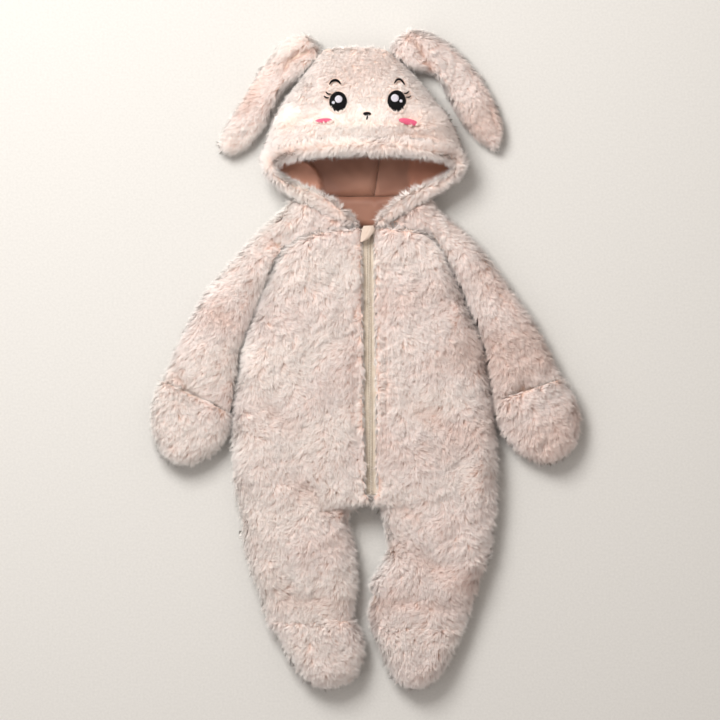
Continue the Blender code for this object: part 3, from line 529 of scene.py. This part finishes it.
def make_skin(cloth):
    """Thin shell on the form of one solid; its outside has material 0 and its inside 1."""
    work = welded(cloth.node)
    under = any(word in cloth.node for word in ("back", "bottom", "sole"))
    if cloth.node == "hood_band":
        outside = set(work.faces)
    else:
        outside = outside_faces(work, under)
        if under:
            outside = {face for face in outside if face.normal.z < 0.4}
    sums = {}
    for face in work.faces:
        face.material_index = 0 if face in outside else 1
        for vertex in face.verts if face in outside else ():
            sums[vertex] = sums.get(vertex, Vector()) + face.normal * face.calc_area()
    for vertex, total in sums.items():
        normal = total.normalized()
        deeper = (cloth.inset - REST_INSET) * flat_share(normal.z)
        vertex.co -= normal * (REST_INSET + deeper)
    mesh = subdivided(work, cloth.levels, "cloth_" + cloth.node)
    points = all_vectors(mesh.vertices, "co")
    normals = all_vectors(mesh.vertex_normals, "vector")
    is_outside = np.zeros(len(points), dtype=bool)
    for polygon in mesh.polygons:
        if polygon.material_index == 0:
            is_outside[list(polygon.vertices)] = True
    upward = np.clip(normals[:, 2], 0, 1) * is_outside
    lift = crease_heights(points[:, :2], cloth.creases)
    lift += 1.3 * LUMPS(points[:, 0], points[:, 1]) + 0.7 * DENTS(points[:, 0], points[:, 1])
    if not under:
        points[:, 2] += upward * (lift if not cloth.short else lift * 0.7)
    points[:, 2] = np.maximum(points[:, 2], LOWEST)
    finish_cloth(mesh, points, SHORT_BACKING if cloth.short else LONG_BACKING, KNIT)
    piece = placed("cloth_" + cloth.node, mesh)
    show(piece, cloth.node)
    return piece


# ---- pile

def sample_outside(mesh, density):
    """Points and normals spread over the outside of a skin, with fewer on its flat underside."""
    mesh.calc_loop_triangles()
    triangles = np.array([triangle.vertices[:] for triangle in mesh.loop_triangles
                          if triangle.material_index == 0])
    points = all_vectors(mesh.vertices, "co") / MM
    normals = all_vectors(mesh.vertex_normals, "vector")
    corners = points[triangles]
    areas = np.linalg.norm(np.cross(corners[:, 1] - corners[:, 0],
                                    corners[:, 2] - corners[:, 0]), axis=1) / 2
    facing = normals[triangles].mean(axis=1)
    weights = areas * (UNDER_SHARE + (1 - UNDER_SHARE) * flat_share(facing[:, 2]))
    count = int(weights.sum() * density)
    chosen = RNG.choice(len(triangles), count, p=weights / weights.sum())
    first, second = RNG.random((2, count))
    over = first + second > 1
    first[over], second[over] = 1 - first[over], 1 - second[over]
    shares = np.stack((1 - first - second, first, second), axis=1)
    where = np.einsum("ij,ijk->ik", shares, corners[chosen])
    facing = np.einsum("ij,ijk->ik", shares, normals[triangles[chosen]])
    return where, facing / np.linalg.norm(facing, axis=1)[:, None]


def unit(vectors):
    return vectors / np.maximum(np.linalg.norm(vectors, axis=1), 1e-6)[:, None]


def face_flow(where):
    """Directions of the pile on the hood: up and out on the muzzle, down on the brim."""
    x, y = where[:, 0], where[:, 1]
    muzzle = np.clip((y - 287) / 5, 0, 1) * np.clip((316 - y) / 12, 0, 1)
    up = np.stack((x * 0.012, np.ones(len(x))), axis=1)
    down = np.stack((x * 0.006, -np.ones(len(x))), axis=1)
    return down * (1 - muzzle)[:, None] + up * muzzle[:, None]


def band_flow(where):
    """Directions of the pile on the brim: over its seam at the top, over its edge below."""
    x, y = where[:, 0], where[:, 1]
    arm = np.clip((232 - y) / 20, 0, 1)
    across = np.sign(x) * (0.15 + 0.55 * arm)
    middle = 265 - 20 * (x / 105) ** 2
    up = np.clip((y - middle) / 5 + 0.5, 0, 1) * (1 - arm)
    return np.stack((across, 2 * up - 1), axis=1)


def flow_directions(cloth, where, normals):
    """Direction in which the pile lies at each point, along the surface."""
    if cloth.node == "hood_front":
        plan = face_flow(where)
    elif cloth.node == "hood_band":
        plan = band_flow(where)
    else:
        plan = np.tile(cloth.flow, (len(where), 1)).astype(float)
    x, y = where[:, 0], where[:, 1]
    if cloth.node.startswith("front"):
        beside = x - zip_x(y)
        away = np.sign(beside) * 1.1 * np.exp(-(beside / 13) ** 2) * (y > ZIP_END[1])
        plan[:, 0] += away
    turn = cloth.swirl * SWIRL(x, y) + 0.45 * WHIRL(x, y) + 0.35 * RUFFLE(x, y)
    turn += RNG.normal(0, 0.22, len(x))
    turned = np.stack((plan[:, 0] * np.cos(turn) - plan[:, 1] * np.sin(turn),
                       plan[:, 0] * np.sin(turn) + plan[:, 1] * np.cos(turn),
                       np.full(len(x), -0.15)), axis=1)
    along = turned - np.einsum("ij,ij->i", turned, normals)[:, None] * normals
    return unit(along)


def blades(where, normals, along, lengths, leans, half_width, spread, material, name, root_darkening):
    """Tufts of pile as one mesh: each tuft is a few pointed blades with close tips.

    The normals lean towards those of the cloth, as fine fibres scatter light softly.  The
    colours hold the share from root to tip, with painted shade at the root and painted light on
    steep sides, the tuft's own shade, and the broad tone, which holds painted shade too."""
    count = len(where)
    across = np.cross(normals, along)
    turn = RNG.uniform(0, 2 * math.pi, (count, BLADES_IN_TUFT))
    reach = spread * np.sqrt(RNG.random((count, BLADES_IN_TUFT)))
    offset = (along[:, None] * (np.cos(turn) * reach)[..., None]
              + across[:, None] * (np.sin(turn) * reach)[..., None])
    own = lengths[:, None] * RNG.uniform(0.75, 1.15, (count, BLADES_IN_TUFT))
    lean = leans[:, None] + RNG.normal(0, 0.1, (count, BLADES_IN_TUFT))
    sway = RNG.normal(0, 0.16, (count, 1)) + RNG.normal(0, 0.09, (count, BLADES_IN_TUFT))
    root = where[:, None] + offset
    tip = (root - offset * (1 - TUFT_SPREAD)
           + normals[:, None] * (own * np.cos(lean))[..., None]
           + along[:, None] * (own * np.sin(lean))[..., None]
           + across[:, None] * (own * sway * 1.35)[..., None])
    half = half_width * RNG.uniform(0.75, 1.25, (count, BLADES_IN_TUFT, 1))
    twist = RNG.normal(0, 0.35, (count, BLADES_IN_TUFT))[..., None]
    wide = across[:, None] * np.cos(twist) + normals[:, None] * np.sin(twist)
    points = np.stack((root - wide * half, tip, root + wide * half), axis=2).reshape(-1, 3)
    points[:, 2] = np.maximum(points[:, 2], LOWEST_BLADE)
    triangles = np.arange(len(points)).reshape(-1, 3)
    piece = fast_mesh(name, points, triangles, material)
    tilt = lean[..., None] * np.array((0.8, 1.15, 0.8))
    own_normal = (normals[:, None, None] * np.sin(tilt)[..., None]
                  - along[:, None, None] * np.cos(tilt)[..., None])
    aside = across[:, None] * RNG.normal(0, 0.3, (count, BLADES_IN_TUFT, 1))
    steep = np.clip(1.0 - normals[:, 2], 0, 1)[:, None]
    cloth_normal = unit(normals + steep * np.array((0.0, 0.0, 1.1)))[:, None, None]
    soft = cloth_normal * 0.75 + own_normal * 0.3 + aside[:, :, None] * 0.5
    piece.data.normals_split_custom_set_from_vertices(unit(soft.reshape(-1, 3)))
    shade = np.ones((count, BLADES_IN_TUFT, 3, 4), dtype=np.float32)
    # painted light: where the cloth turns steeply down, roots and tufts are lighter, as the rolled
    # edges glow
    edge = np.clip(1.15 - normals[:, 2] * 1.25, 0, 1)[:, None, None] * 0.8
    # painted shade: roots start only part of the way to the tip's colour, lifted on steep sides
    shade[..., 0] = edge + (1 - edge) * np.array((ROOT_SHADE, 1.0, ROOT_SHADE))
    # painted shade in folds: the roots are darkened further by the factor passed in
    shade[..., 0] *= np.broadcast_to(root_darkening, count)[:, None, None]
    shade[..., 1] = np.clip(RNG.normal(0.5, 0.28, (count, 1, 1)) + edge, 0, 1)
    x, y = where[:, 0], where[:, 1]
    # broad tone: random, with painted shade that darkens the right side, and a little darker towards
    # the top
    tone = 0.68 + 0.26 * TONE(x, y) - 0.0014 * x - 0.0003 * y
    # painted shade: the tone drops around listed spots on the sleeves, ears, right leg and right
    # mitten
    for shade_x, shade_y, reach, depth in PAINTED_SHADE_SPOTS:
        tone -= depth * np.exp(-((x - shade_x) ** 2 + (y - shade_y) ** 2) / reach ** 2)
    shade[..., 2] = np.clip(tone, 0, 1)[:, None, None]
    attribute = piece.data.color_attributes.new("pile", "FLOAT_COLOR", "POINT")
    attribute.data.foreach_set("color", shade.ravel())
    show(piece)
    return piece


# ---- face

Patch = namedtuple("Patch", "name x y half_x half_y tilt lift thickness")
EYES = [Patch("eye_left", -34.6, 316, 11, 13, 0, -0.6, 2.0),
        Patch("eye_right", 37.9, 316.9, 11.5, 13.7, 0, -0.6, 2.0)]
GLINTS = [Patch("glint_left_large", -34, 319.1, 4.8, 4.8, 0, 1.0, 1.2),
          Patch("glint_left_small", -40.4, 315, 2.1, 2.1, 0, 0.8, 1.1),
          Patch("glint_right_large", 35.8, 320.5, 5, 5, 0, 1.0, 1.2),
          Patch("glint_right_small", 43.2, 316.9, 2.1, 2.1, 0, 0.8, 1.1)]
CHEEKS = [Patch("cheek_left", -52.5, 292.5, 10.5, 2.8, 4, -0.6, 2.0),
          Patch("cheek_right", 52.5, 290.9, 12.5, 4.0, -12, -0.6, 2.0)]
NOSE = Patch("nose", 1.2, 300.9, 5.0, 2.5, 0, -0.6, 2.2)
Stroke = namedtuple("Stroke", "name width points")
STROKES = [Stroke(*row) for row in (
    ("brow_left", 3.4,
     [(-45.4, 337.8), (-42.6, 341.6), (-38.8, 343.2), (-34.6, 342), (-31.6, 338.4)]),
    ("brow_right", 2.9,
     [(35.2, 339.4), (38, 343.4), (41.4, 344.6), (44.8, 342.4), (47.8, 337.8)]),
    ("lash_left_upper", 2.1, [(-42.6, 325.6), (-46.8, 325.8), (-50, 328.4)]),
    ("lash_left_lower", 2.1, [(-45.4, 320.8), (-49.4, 321.2), (-52.4, 323.4)]),
    ("lash_right_upper", 2.1, [(46.8, 326.4), (50.2, 326.8), (53.4, 329.2)]),
    ("lash_right_lower", 2.1, [(49.2, 322), (53, 321.8), (55.8, 323.6)]),
    ("nose_stem", 2.0, [(1.6, 298.6), (1.4, 296.2), (0.6, 293.6)]))]


def in_patches(x, y, margin):
    """True where a plan point lies on the embroidery."""
    covered = np.zeros(len(x), dtype=bool)
    for patch in (*EYES, *CHEEKS, NOSE):
        tilt = math.radians(patch.tilt)
        along = (x - patch.x) * math.cos(tilt) + (y - patch.y) * math.sin(tilt)
        up = -(x - patch.x) * math.sin(tilt) + (y - patch.y) * math.cos(tilt)
        covered |= ((along / (patch.half_x + margin)) ** 2
                    + (up / (patch.half_y + margin)) ** 2) < 1
    for line in STROKES:
        for start, end in zip(line.points, line.points[1:]):
            distance = segment_distance(np.stack((x, y), axis=1), start, end)[0]
            covered |= np.abs(distance) < line.width * 0.6 + margin
    return covered


def add_patch(patch, ground, material, rings=9, sides=56):
    """Domed satin-stitch patch, draped over the hood."""
    tilt = math.radians(patch.tilt)
    base = ground(patch.x, patch.y)
    top = [(patch.x, patch.y, base + patch.lift + patch.thickness)]
    low = [(patch.x, patch.y, base + patch.lift)]
    for ring in range(1, rings + 1):
        share = ring / rings
        for step in range(sides):
            angle = 2 * math.pi * step / sides
            ragged = 1 + 0.012 * math.sin(23 * angle + patch.x) if ring == rings else 1
            along = patch.half_x * math.cos(angle) * share * ragged
            up = patch.half_y * math.sin(angle) * share * ragged
            x = patch.x + along * math.cos(tilt) - up * math.sin(tilt)
            y = patch.y + along * math.sin(tilt) + up * math.cos(tilt)
            z = (ground(x, y) or base) + patch.lift
            dome = math.sqrt(max(1 - share ** 4, 0))
            low.append((x, y, z))
            top.append((x, y, z + 0.25 + (patch.thickness - 0.25) * dome))
    count = len(top)
    faces = []
    for step in range(sides):
        after = (step + 1) % sides
        faces.append((0, 1 + step, 1 + after))
        for ring in range(1, rings):
            a, b = 1 + (ring - 1) * sides + step, 1 + (ring - 1) * sides + after
            faces.append((a, a + sides, b + sides))
            faces.append((a, b + sides, b))
    low_faces = [tuple(count + i for i in face[::-1]) for face in faces]
    rim = []
    for step in range(sides):
        a = 1 + (rings - 1) * sides + step
        b = 1 + (rings - 1) * sides + (step + 1) % sides
        rim += [(a, count + a, count + b), (a, count + b, b)]
    piece = fast_mesh("stitched_" + patch.name, np.array(top + low),
                      np.array(faces + low_faces + rim), material)
    show(piece, patch.name)


def curve_points(points, count):
    """Smooth path of a number of points through given ones."""
    points = np.array(points, float)
    padded = np.vstack((2 * points[0] - points[1], points, 2 * points[-1] - points[-2]))
    spots = np.linspace(0, len(points) - 1 - 1e-6, count)
    path = []
    for spot in spots:
        index = int(spot)
        t = spot - index
        a, b, c, d = padded[index:index + 4]
        path.append(0.5 * (2 * b + (c - a) * t + (2 * a - 5 * b + 4 * c - d) * t ** 2
                           + (3 * b - a - 3 * c + d) * t ** 3))
    return np.array(path)


def tube_mesh(name, path, half_widths, half_heights, material, sides=10):
    """Closed tube along a path, flatter or rounder as the two half sizes say."""
    ahead = unit(np.gradient(path, axis=0))
    level = unit(np.cross(np.tile((0.0, 0.0, 1.0), (len(path), 1)), ahead))
    up = np.cross(ahead, level)
    rings = []
    for side in range(sides):
        angle = 2 * math.pi * side / sides
        rings.append(path + level * (half_widths * math.cos(angle))[:, None]
                     + up * (half_heights * math.sin(angle))[:, None])
    points = np.stack(rings, axis=1).reshape(-1, 3)
    faces = []
    for row in range(len(path) - 1):
        for side in range(sides):
            a = row * sides + side
            b = row * sides + (side + 1) % sides
            faces += [(a, b, b + sides), (a, b + sides, a + sides)]
    last = (len(path) - 1) * sides
    for side in range(1, sides - 1):
        faces += [(0, side + 1, side), (last, last + side, last + side + 1)]
    return fast_mesh(name, points, np.array(faces), material)


def add_stroke(line, ground):
    plan = curve_points(line.points, 22)
    share = np.linspace(0, 1, len(plan))
    taper = 0.35 + 0.65 * np.sin(math.pi * np.clip(share, 0.04, 0.96)) ** 0.6
    heights = np.array([ground(x, y) + 0.9 for x, y in plan])
    path = np.column_stack((plan, heights))
    piece = tube_mesh("stitched_" + line.name, path, line.width / 2 * taper,
                      1.3 * taper, BLACK_THREAD)
    show(piece, line.name)


def add_overlaps(ground):
    """Pile that lies over the lower edges of the eyes and the cheeks."""
    spots = []
    for patch in (*EYES, *CHEEKS):
        is_eye = patch.name.startswith("eye")
        count = 44 if is_eye else 22
        for angle in RNG.uniform(1.14 * math.pi, 1.86 * math.pi, count):
            grow = RNG.uniform(1.02, 1.2 if is_eye else 1.5)
            spots.append((patch.x + patch.half_x * grow * math.cos(angle),
                          patch.y + patch.half_y * grow * math.sin(angle),
                          RNG.uniform(2.2, 4.2) if is_eye else RNG.uniform(2.2, 3.8)))
    spots = np.array(spots)
    where = np.column_stack((spots[:, :2], [ground(x, y) + 0.2 for x, y, _ in spots]))
    count = len(where)
    up = unit(np.column_stack((RNG.normal(0.0, 0.22, count), np.ones(count), np.zeros(count))))
    normals = np.tile((0.0, 0.0, 1.0), (count, 1))
    blades(where, normals, up, spots[:, 2], np.full(count, math.radians(58)),
           0.3, 0.9, SHORT_PILE, "pile_over_embroidery", 0.85)


# ---- lining

SIDE_FOLD_LEFT = [(-56, 170), (-56, 206), (-57, 222), (-63, 234), (-72, 243), (-84, 248)]
SIDE_FOLD_RIGHT = [(62, 170), (60, 196), (54, 213), (54, 230), (56, 244), (56, 262)]
LINING_CREASES = creases(
    (13.7, 258, 13.7, 197, 1.0, -0.9), (15.8, 256, 15.8, 198, 1.4, 0.5),
    (-46, 196.5, 40, 196.5, 1.1, -1.0), (-46, 194.3, 40, 194.3, 1.4, 0.6),
    (-30, 176.5, 28, 176.5, 1.0, -0.8), (-38, 250, -20, 214, 6, 1.2), (-10, 256, 2, 222, 5, -1.0),
    (28, 252, 40, 222, 5, 1.2), (40, 244, 47, 218, 3.0, 1.4), (-45, 232, -34, 206, 4, -1.2))


def side_rise(points, fold, side):
    """Share from 0 in the middle panel to 1 beyond the fold at one side."""
    edge = np.interp(points[:, 1], [y for _, y in fold], [x for x, _ in fold])
    return np.clip((points[:, 0] - edge) * side / 3.0 + 0.5, 0, 1)


def add_lining(name, is_back):
    """Satin lining: a finer copy of the solid with its seams, folds and side panels, and painted
    light and shade on the panels.
    """
    mesh = subdivided(welded(name), 3 if is_back else 2, "satin_" + name)
    points = all_vectors(mesh.vertices, "co")
    if is_back:
        plan = points[:, :2]
        left = side_rise(points, SIDE_FOLD_LEFT, -1)
        right = side_rise(points, SIDE_FOLD_RIGHT, 1)
        reach = np.clip((points[:, 1] - 196) / 14, 0, 1)
        beyond_left = np.clip((-56 - points[:, 0]) / 40, 0, 1)
        beyond_right = np.clip((points[:, 0] - 56) / 40, 0, 1)
        rise = 7 * left * (1 - 0.3 * beyond_left) + 6 * right * (1 - 0.3 * beyond_right)
        points[:, 2] += rise * reach + crease_heights(plan, LINING_CREASES)
        points[:, 2] += 1.8 + 0.8 * DENTS(points[:, 0] * 0.6, points[:, 1] * 0.35)
    else:
        points[:, 2] += (-1.4 if name == "lining_roof" else 1.4)
        points[:, 2] += 0.5 * DENTS(points[:, 0], points[:, 1] * 0.6)
    finish_cloth(mesh, points, SATIN)
    # painted light and shade on the one satin: left side panel much lighter, right one a little
    # lighter and warmer, lining below the neck seam lighter
    painted_panel_light = np.ones((len(points), 4), dtype=np.float32)
    if is_back:
        painted_panel_light[:, :3] += np.outer(left * reach, (1.1, 1.2, 1.3))
        painted_panel_light[:, :3] += np.outer(right * reach, (0.35, 0.2, 0.12))
        painted_panel_light[:, :3] += np.outer(points[:, 1] < 195, (0.25, 0.2, 0.18))
    attribute = mesh.color_attributes.new("side", "FLOAT_COLOR", "POINT")
    attribute.data.foreach_set("color", painted_panel_light.ravel())
    piece = placed("satin_" + name, mesh)
    show(piece, name)


# ---- zip and small pieces

ZIP_TOP = (2.5, 161.0)
ZIP_END = (6.0, -172.0)
TOOTH_PITCH = 1.65
TOOTH_HALF = (1.5, 0.62, 0.75)
TOOTH_TAPER = (0.8, 0.7)     # its top, beside its foot
ZIP_LANE = (-6.6, 8.6)       # where no pile grows, beside the zip's line
ZIP_NEAR = 18                # the pile is shorter this near the line
ZIP_TRIM = 0.72


def zip_x(y):
    return np.interp(y, (ZIP_END[1], ZIP_TOP[1]), (ZIP_END[0], ZIP_TOP[0]))


def add_tape(name):
    mesh = subdivided(welded(name), 2, "woven_" + name)
    points = all_vectors(mesh.vertices, "co")
    points[:, 2] += 0.12 * RUFFLE(points[:, 0] * 2, points[:, 1] * 0.8)
    finish_cloth(mesh, points, TAPE_CLOTH)
    piece = placed("woven_" + name, mesh)
    show(piece, name)


def add_teeth():
    """Coil teeth of the closed zip, with a cord along each side."""
    chain_top = top_finder("zip_chain")
    places = np.arange(ZIP_END[1] + 2, ZIP_TOP[1] - 2, TOOTH_PITCH)
    tooth = np.array([(x, y, z) for z in (-1, 1) for y in (-1, 1) for x in (-1, 1)]) * TOOTH_HALF
    tooth[4:, :2] *= TOOTH_TAPER
    pattern = np.array(((0, 2, 3), (0, 3, 1), (4, 5, 7), (4, 7, 6), (0, 1, 5), (0, 5, 4),
                        (2, 6, 7), (2, 7, 3), (0, 4, 6), (0, 6, 2), (1, 3, 7), (1, 7, 5)))
    points = []
    heights = []
    for index, y in enumerate(places):
        side = 1 if index % 2 else -1
        top = chain_top(float(zip_x(y)), y) or heights[-1]
        heights.append(top)
        points.append(tooth + np.array((zip_x(y) + side * 0.75, y, top - 0.9)))
    count = len(places)
    triangles = (pattern[None] + 8 * np.arange(count)[:, None, None]).reshape(-1, 3)
    teeth = fast_mesh("zip_teeth", np.concatenate(points), triangles, ZIP_TEETH)
    for polygon in teeth.data.polygons:
        polygon.use_smooth = False
    show(teeth, "zip_chain")
    for side, label in ((-1, "left"), (1, "right")):
        steps = places[::4]
        tops = np.array(heights)[::4]
        path = np.column_stack((zip_x(steps) + side * 2.1, steps, tops - 1.3))
        cord = tube_mesh("zip_cord_" + label, path, np.full(len(path), 0.55),
                         np.full(len(path), 0.5), TAPE_CLOTH, 8)
        show(cord)


def add_prism(work, shape, levels, middle, half):
    """Upright prism in a bmesh: its plan and its levels are shares of the half sizes."""
    rings = [[work.verts.new((middle[0] + x * half[0], middle[1] + y * half[1],
                              middle[2] + level * half[2])) for x, y in shape]
             for level in levels]
    work.faces.new(rings[0][::-1])
    work.faces.new(rings[1])
    for i in range(len(shape)):
        j = (i + 1) % len(shape)
        work.faces.new((rings[0][i], rings[0][j], rings[1][j], rings[1][i]))


def box_mm(name):
    """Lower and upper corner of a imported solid's box in millimetres."""
    low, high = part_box(name)
    return np.array(low) / MM, np.array(high) / MM


def add_slider():
    """Slider: two plates with a post between them and a bridge on top, without a pull."""
    low, high = box_mm("zip_slider")
    middle, half = (low + high) / 2, (high - low) / 2
    work = bmesh.new()
    plate = [(-0.55, -1), (0.55, -1), (0.95, 0.1), (1, 0.8), (0.45, 1), (-0.45, 1),
             (-1, 0.8), (-0.95, 0.1)]
    for levels in ((-1.0, -0.55), (0.15, 0.6)):
        add_prism(work, plate, levels, middle, half)
    for start, end, wide, levels in ((-0.7, 0.75, 0.28, (0.6, 1.0)),
                                     (0.3, 0.7, 0.2, (-0.55, 0.15))):
        bar = [(-wide, start), (wide, start), (wide, end), (-wide, end)]
        add_prism(work, bar, levels, middle, half)
    bmesh.ops.bevel(work, geom=work.edges[:], offset=0.12, segments=2, affect="EDGES",
                    profile=0.6)
    piece = placed("zip_slider_body", mesh_of(work, "zip_slider_body", ZIP_TEETH))
    show(piece, "zip_slider")


# Folded guard at the zip's top: edges of its two layers, from the upper edge to the point
GUARD_BASE = [((-3.2, 163, 47.6), (9.4, 163.5, 47.2)), ((-5.0, 158, 48.6), (9.4, 158, 47.2)),
              ((-6.2, 152, 48.8), (6.2, 152.5, 47.4)), ((-6.9, 147, 48.6), (1.2, 147.5, 47.4)),
              ((-6.9, 143, 47.8), (-4.6, 142.6, 47.2))]
GUARD_FLAP = [((4.0, 163.2, 49.2), (9.9, 163, 48.0)), ((3.4, 158.6, 50.2), (9.8, 157.2, 48.4)),
              ((1.2, 153.4, 50.4), (6.9, 151.4, 48.6)), ((-2.2, 148.4, 50.0), (2.0, 146.4, 48.4)),
              ((-5.6, 144.2, 49.0), (-4.4, 142.8, 48.2))]
GUARD_LAYER = 1.2


def add_guard():
    """Leaf of cream cloth, folded over along its right side."""
    points = []
    triangles = []
    columns = 9
    for layer in (GUARD_BASE, GUARD_FLAP):
        lefts = curve_points([row[0] for row in layer], 14)
        rights = curve_points([row[1] for row in layer], 14)
        start = len(points)
        for level in (0, -GUARD_LAYER):
            for left, right in zip(lefts, rights):
                for share in np.linspace(0, 1, columns):
                    place = left + (right - left) * share
                    crown = (1.5 if layer is GUARD_BASE else 0.9) * math.sin(math.pi * share)
                    points.append((place[0], place[1], place[2] + crown + level))
        rows = len(lefts)
        sheet = rows * columns
        for row in range(rows - 1):
            for column in range(columns - 1):
                a = start + row * columns + column
                b, c, d = a + 1, a + columns + 1, a + columns
                triangles += [(a, c, b), (a, d, c)]
                triangles += [(a + sheet, b + sheet, c + sheet), (a + sheet, c + sheet, d + sheet)]
        border = ([column for column in range(columns)]
                  + [row * columns + columns - 1 for row in range(1, rows)]
                  + [(rows - 1) * columns + column for column in range(columns - 2, -1, -1)]
                  + [row * columns for row in range(rows - 2, 0, -1)])
        for one, two in zip(border, border[1:] + border[:1]):
            a, b = start + one, start + two
            triangles += [(a, b, b + sheet), (a, b + sheet, a + sheet)]
    guard = fast_mesh("guard_cloth_leaf", np.array(points), np.array(triangles), GUARD_CLOTH)
    show(guard, "zip_guard")


def add_label():
    """Blank woven tab of two thin layers that stands out of the side seam."""
    low, high = box_mm("side_label")
    work = bmesh.new()
    columns, rows = 8, 10
    grid = []
    for level in (0, 1):
        for row in range(rows + 1):
            for column in range(columns + 1):
                u, v = column / columns, row / rows
                bulge = 0.5 * math.sin(math.pi * v) * (1 - u)
                z = low[2] + (high[2] - low[2]) * level + (bulge if level else bulge * 0.5)
                grid.append(work.verts.new((low[0] + (high[0] - low[0]) * u
                                            + 0.3 * math.sin(2.2 * v), low[1]
                                            + (high[1] - low[1]) * v, z)))
    wide = columns + 1
    sheet = wide * (rows + 1)
    for row in range(rows):
        for column in range(columns):
            a = row * wide + column
            square = (a, a + 1, a + 1 + wide, a + wide)
            work.faces.new([grid[i + sheet] for i in square])
            work.faces.new([grid[i] for i in square[::-1]])
    bmesh.ops.holes_fill(work, edges=[e for e in work.edges if len(e.link_faces) == 1])
    bmesh.ops.recalc_face_normals(work, faces=work.faces)
    mesh = mesh_of(work, "woven_label", LABEL_CLOTH)
    mesh.shade_smooth()
    piece = placed("woven_label", mesh)
    show(piece, "side_label")


# ---- cloth as it was cut

# Width, length and area in metres of what shows of each cut piece when it is laid out flat,
# how it is held, and what it lies on
Sheet = namedtuple("Sheet", "width length area held rests_on")


# ---- studio

WORLD_COLOUR = (1.0, 0.925, 0.87, 1)
WORLD_STRENGTH = 0.48
# Name, place in metres, size in metres, power in watts and colour
LIGHTS = (("window", (-0.7, 1.1, 1.75), 0.95, 46, (1.0, 0.985, 0.965)),
          ("fill", (-1.6, -1.0, 2.2), 1.8, 6, (0.97, 0.97, 1.0)))


def add_studio():
    """Pale floor, soft light from the upper left, and a camera straight above."""
    bpy.ops.mesh.primitive_plane_add(size=60, location=(0, 0, -0.0004))
    floor = bpy.context.object
    floor.name = "floor"
    material, tree = new_material("floor_paper")
    shader = shader_of(tree, 0.9)
    place = texture_place(tree)
    grain = noise(tree, place, 3, 4)
    paper = ramp(tree, grain, ((0.3, linear(208, 206, 202)), (0.7, linear(215, 213, 209))))
    tree.links.new(paper, shader.inputs["Base Color"])
    floor.data.materials.append(material)
    world = bpy.data.worlds.new("studio")
    bpy.context.scene.world = world
    world.use_nodes = True
    backdrop = world.node_tree.nodes["Background"]
    backdrop.inputs["Color"].default_value = WORLD_COLOUR
    backdrop.inputs["Strength"].default_value = WORLD_STRENGTH
    for name, place, size, power, colour in LIGHTS:
        data = bpy.data.lights.new(name, "AREA")
        data.size = size
        data.energy = power
        data.color = colour
        lamp = placed(name, data)
        lamp.location = place
        lamp.rotation_euler = (-Vector(place)).to_track_quat("-Z", "Y").to_euler()
    data = bpy.data.cameras.new("camera")
    data.sensor_width = SENSOR
    data.lens = SENSOR * CAMERA_HEIGHT / PICTURE_MM
    data.clip_end = 100
    camera = placed("camera", data)
    camera.location = (PICTURE_MIDDLE[0] * MM, PICTURE_MIDDLE[1] * MM, CAMERA_HEIGHT * MM)
    bpy.context.scene.camera = camera
    bpy.context.scene.view_settings.view_transform = "Standard"


# ---- assembly

def tuft_places(cloth, skin):
    """Where the tufts of one skin stand, the cloth's normals there, and where the pile lies."""
    density = TUFTS_PER_MM2 * cloth.fill * 1
    where, normals = sample_outside(skin.data, density)
    if cloth.node == "hood_front":
        keep = ~in_patches(where[:, 0], where[:, 1], 0.8)
        where, normals = where[keep], normals[keep]
    if cloth.node.startswith("front"):
        beside = where[:, 0] - zip_x(where[:, 1])
        keep = (beside < ZIP_LANE[0]) | (beside > ZIP_LANE[1]) | (where[:, 1] < ZIP_END[1])
        where, normals = where[keep], normals[keep]
    order = np.argsort(-where[:, 1], kind="stable")
    where, normals = where[order], normals[order]
    along = flow_directions(cloth, where, normals)
    if cloth.node == "hood_front":
        tips = where + along * cloth.length * 0.75
        keep = ~in_patches(tips[:, 0], tips[:, 1], 0.0)
        where, normals, along = where[keep], normals[keep], along[keep]
    return where, normals, along


def add_pile(cloth, skin):
    """Pile of one skin, longer at its steep sides, shorter in its folds and by the zip, with painted
    shade at the roots in its folds.
    """
    all_where, all_normals, all_along = tuft_places(cloth, skin)
    half_width, spread = SHORT_TUFT if cloth.short else LONG_TUFT
    pile = []
    for index, rows in enumerate(np.array_split(np.arange(len(all_where)),
                                                math.ceil(len(all_where) / LARGEST_PILE))):
        where, normals = all_where[rows], all_normals[rows]
        lengths = cloth.length * RNG.uniform(0.78, 1.18, len(rows))
        steep = np.clip(0.8 - normals[:, 2] * 1.3, 0, 1)
        if cloth.node.startswith("front"):
            apart = np.abs(where[:, 0] - zip_x(where[:, 1]))
            by_zip = (apart < ZIP_NEAR) & (where[:, 1] > ZIP_END[1])
            steep[by_zip] = 0
            lengths[by_zip] *= ZIP_TRIM
        folds = np.clip(-crease_heights(where[:, :2], cloth.creases) / 6, 0, 1)
        folds *= normals[:, 2] > 0.2
        lengths *= 1 - 0.4 * folds + 0.2 * steep
        leans = np.radians(RNG.normal(cloth.lean, 7, len(rows)) - 15 * steep)
        # the last argument darkens the roots in the folds: painted shade
        pile.append(blades(where, normals, all_along[rows], lengths, leans, half_width, spread,
                           SHORT_PILE if cloth.short else LONG_PILE,
                           f"pile_{cloth.node}_{index + 1}", 1 - 0.75 * folds))
    return pile


def build():
    for cloth in CLOTHS:
        skin = make_skin(cloth)
        add_pile(cloth, skin)
    ground = top_finder("hood_front")
    for patch in EYES:
        add_patch(patch, ground, BLACK_THREAD)
    for patch in GLINTS:
        add_patch(patch, ground, WHITE_THREAD, 5, 28)
    for patch in CHEEKS:
        add_patch(patch, ground, PINK_THREAD)
    add_patch(NOSE, ground, BLACK_THREAD, 5, 32)
    for line in STROKES:
        add_stroke(line, ground)
    add_overlaps(ground)
    for name in ("lining_back_left", "lining_back_right", "lining_roof", "neck_facing"):
        add_lining(name, name.startswith("lining_back"))
    for name in ("zip_tape_left", "zip_tape_right"):
        add_tape(name)
    add_teeth()
    add_slider()
    add_guard()
    add_label()
    add_studio()


build()
bpy.context.view_layer.update()
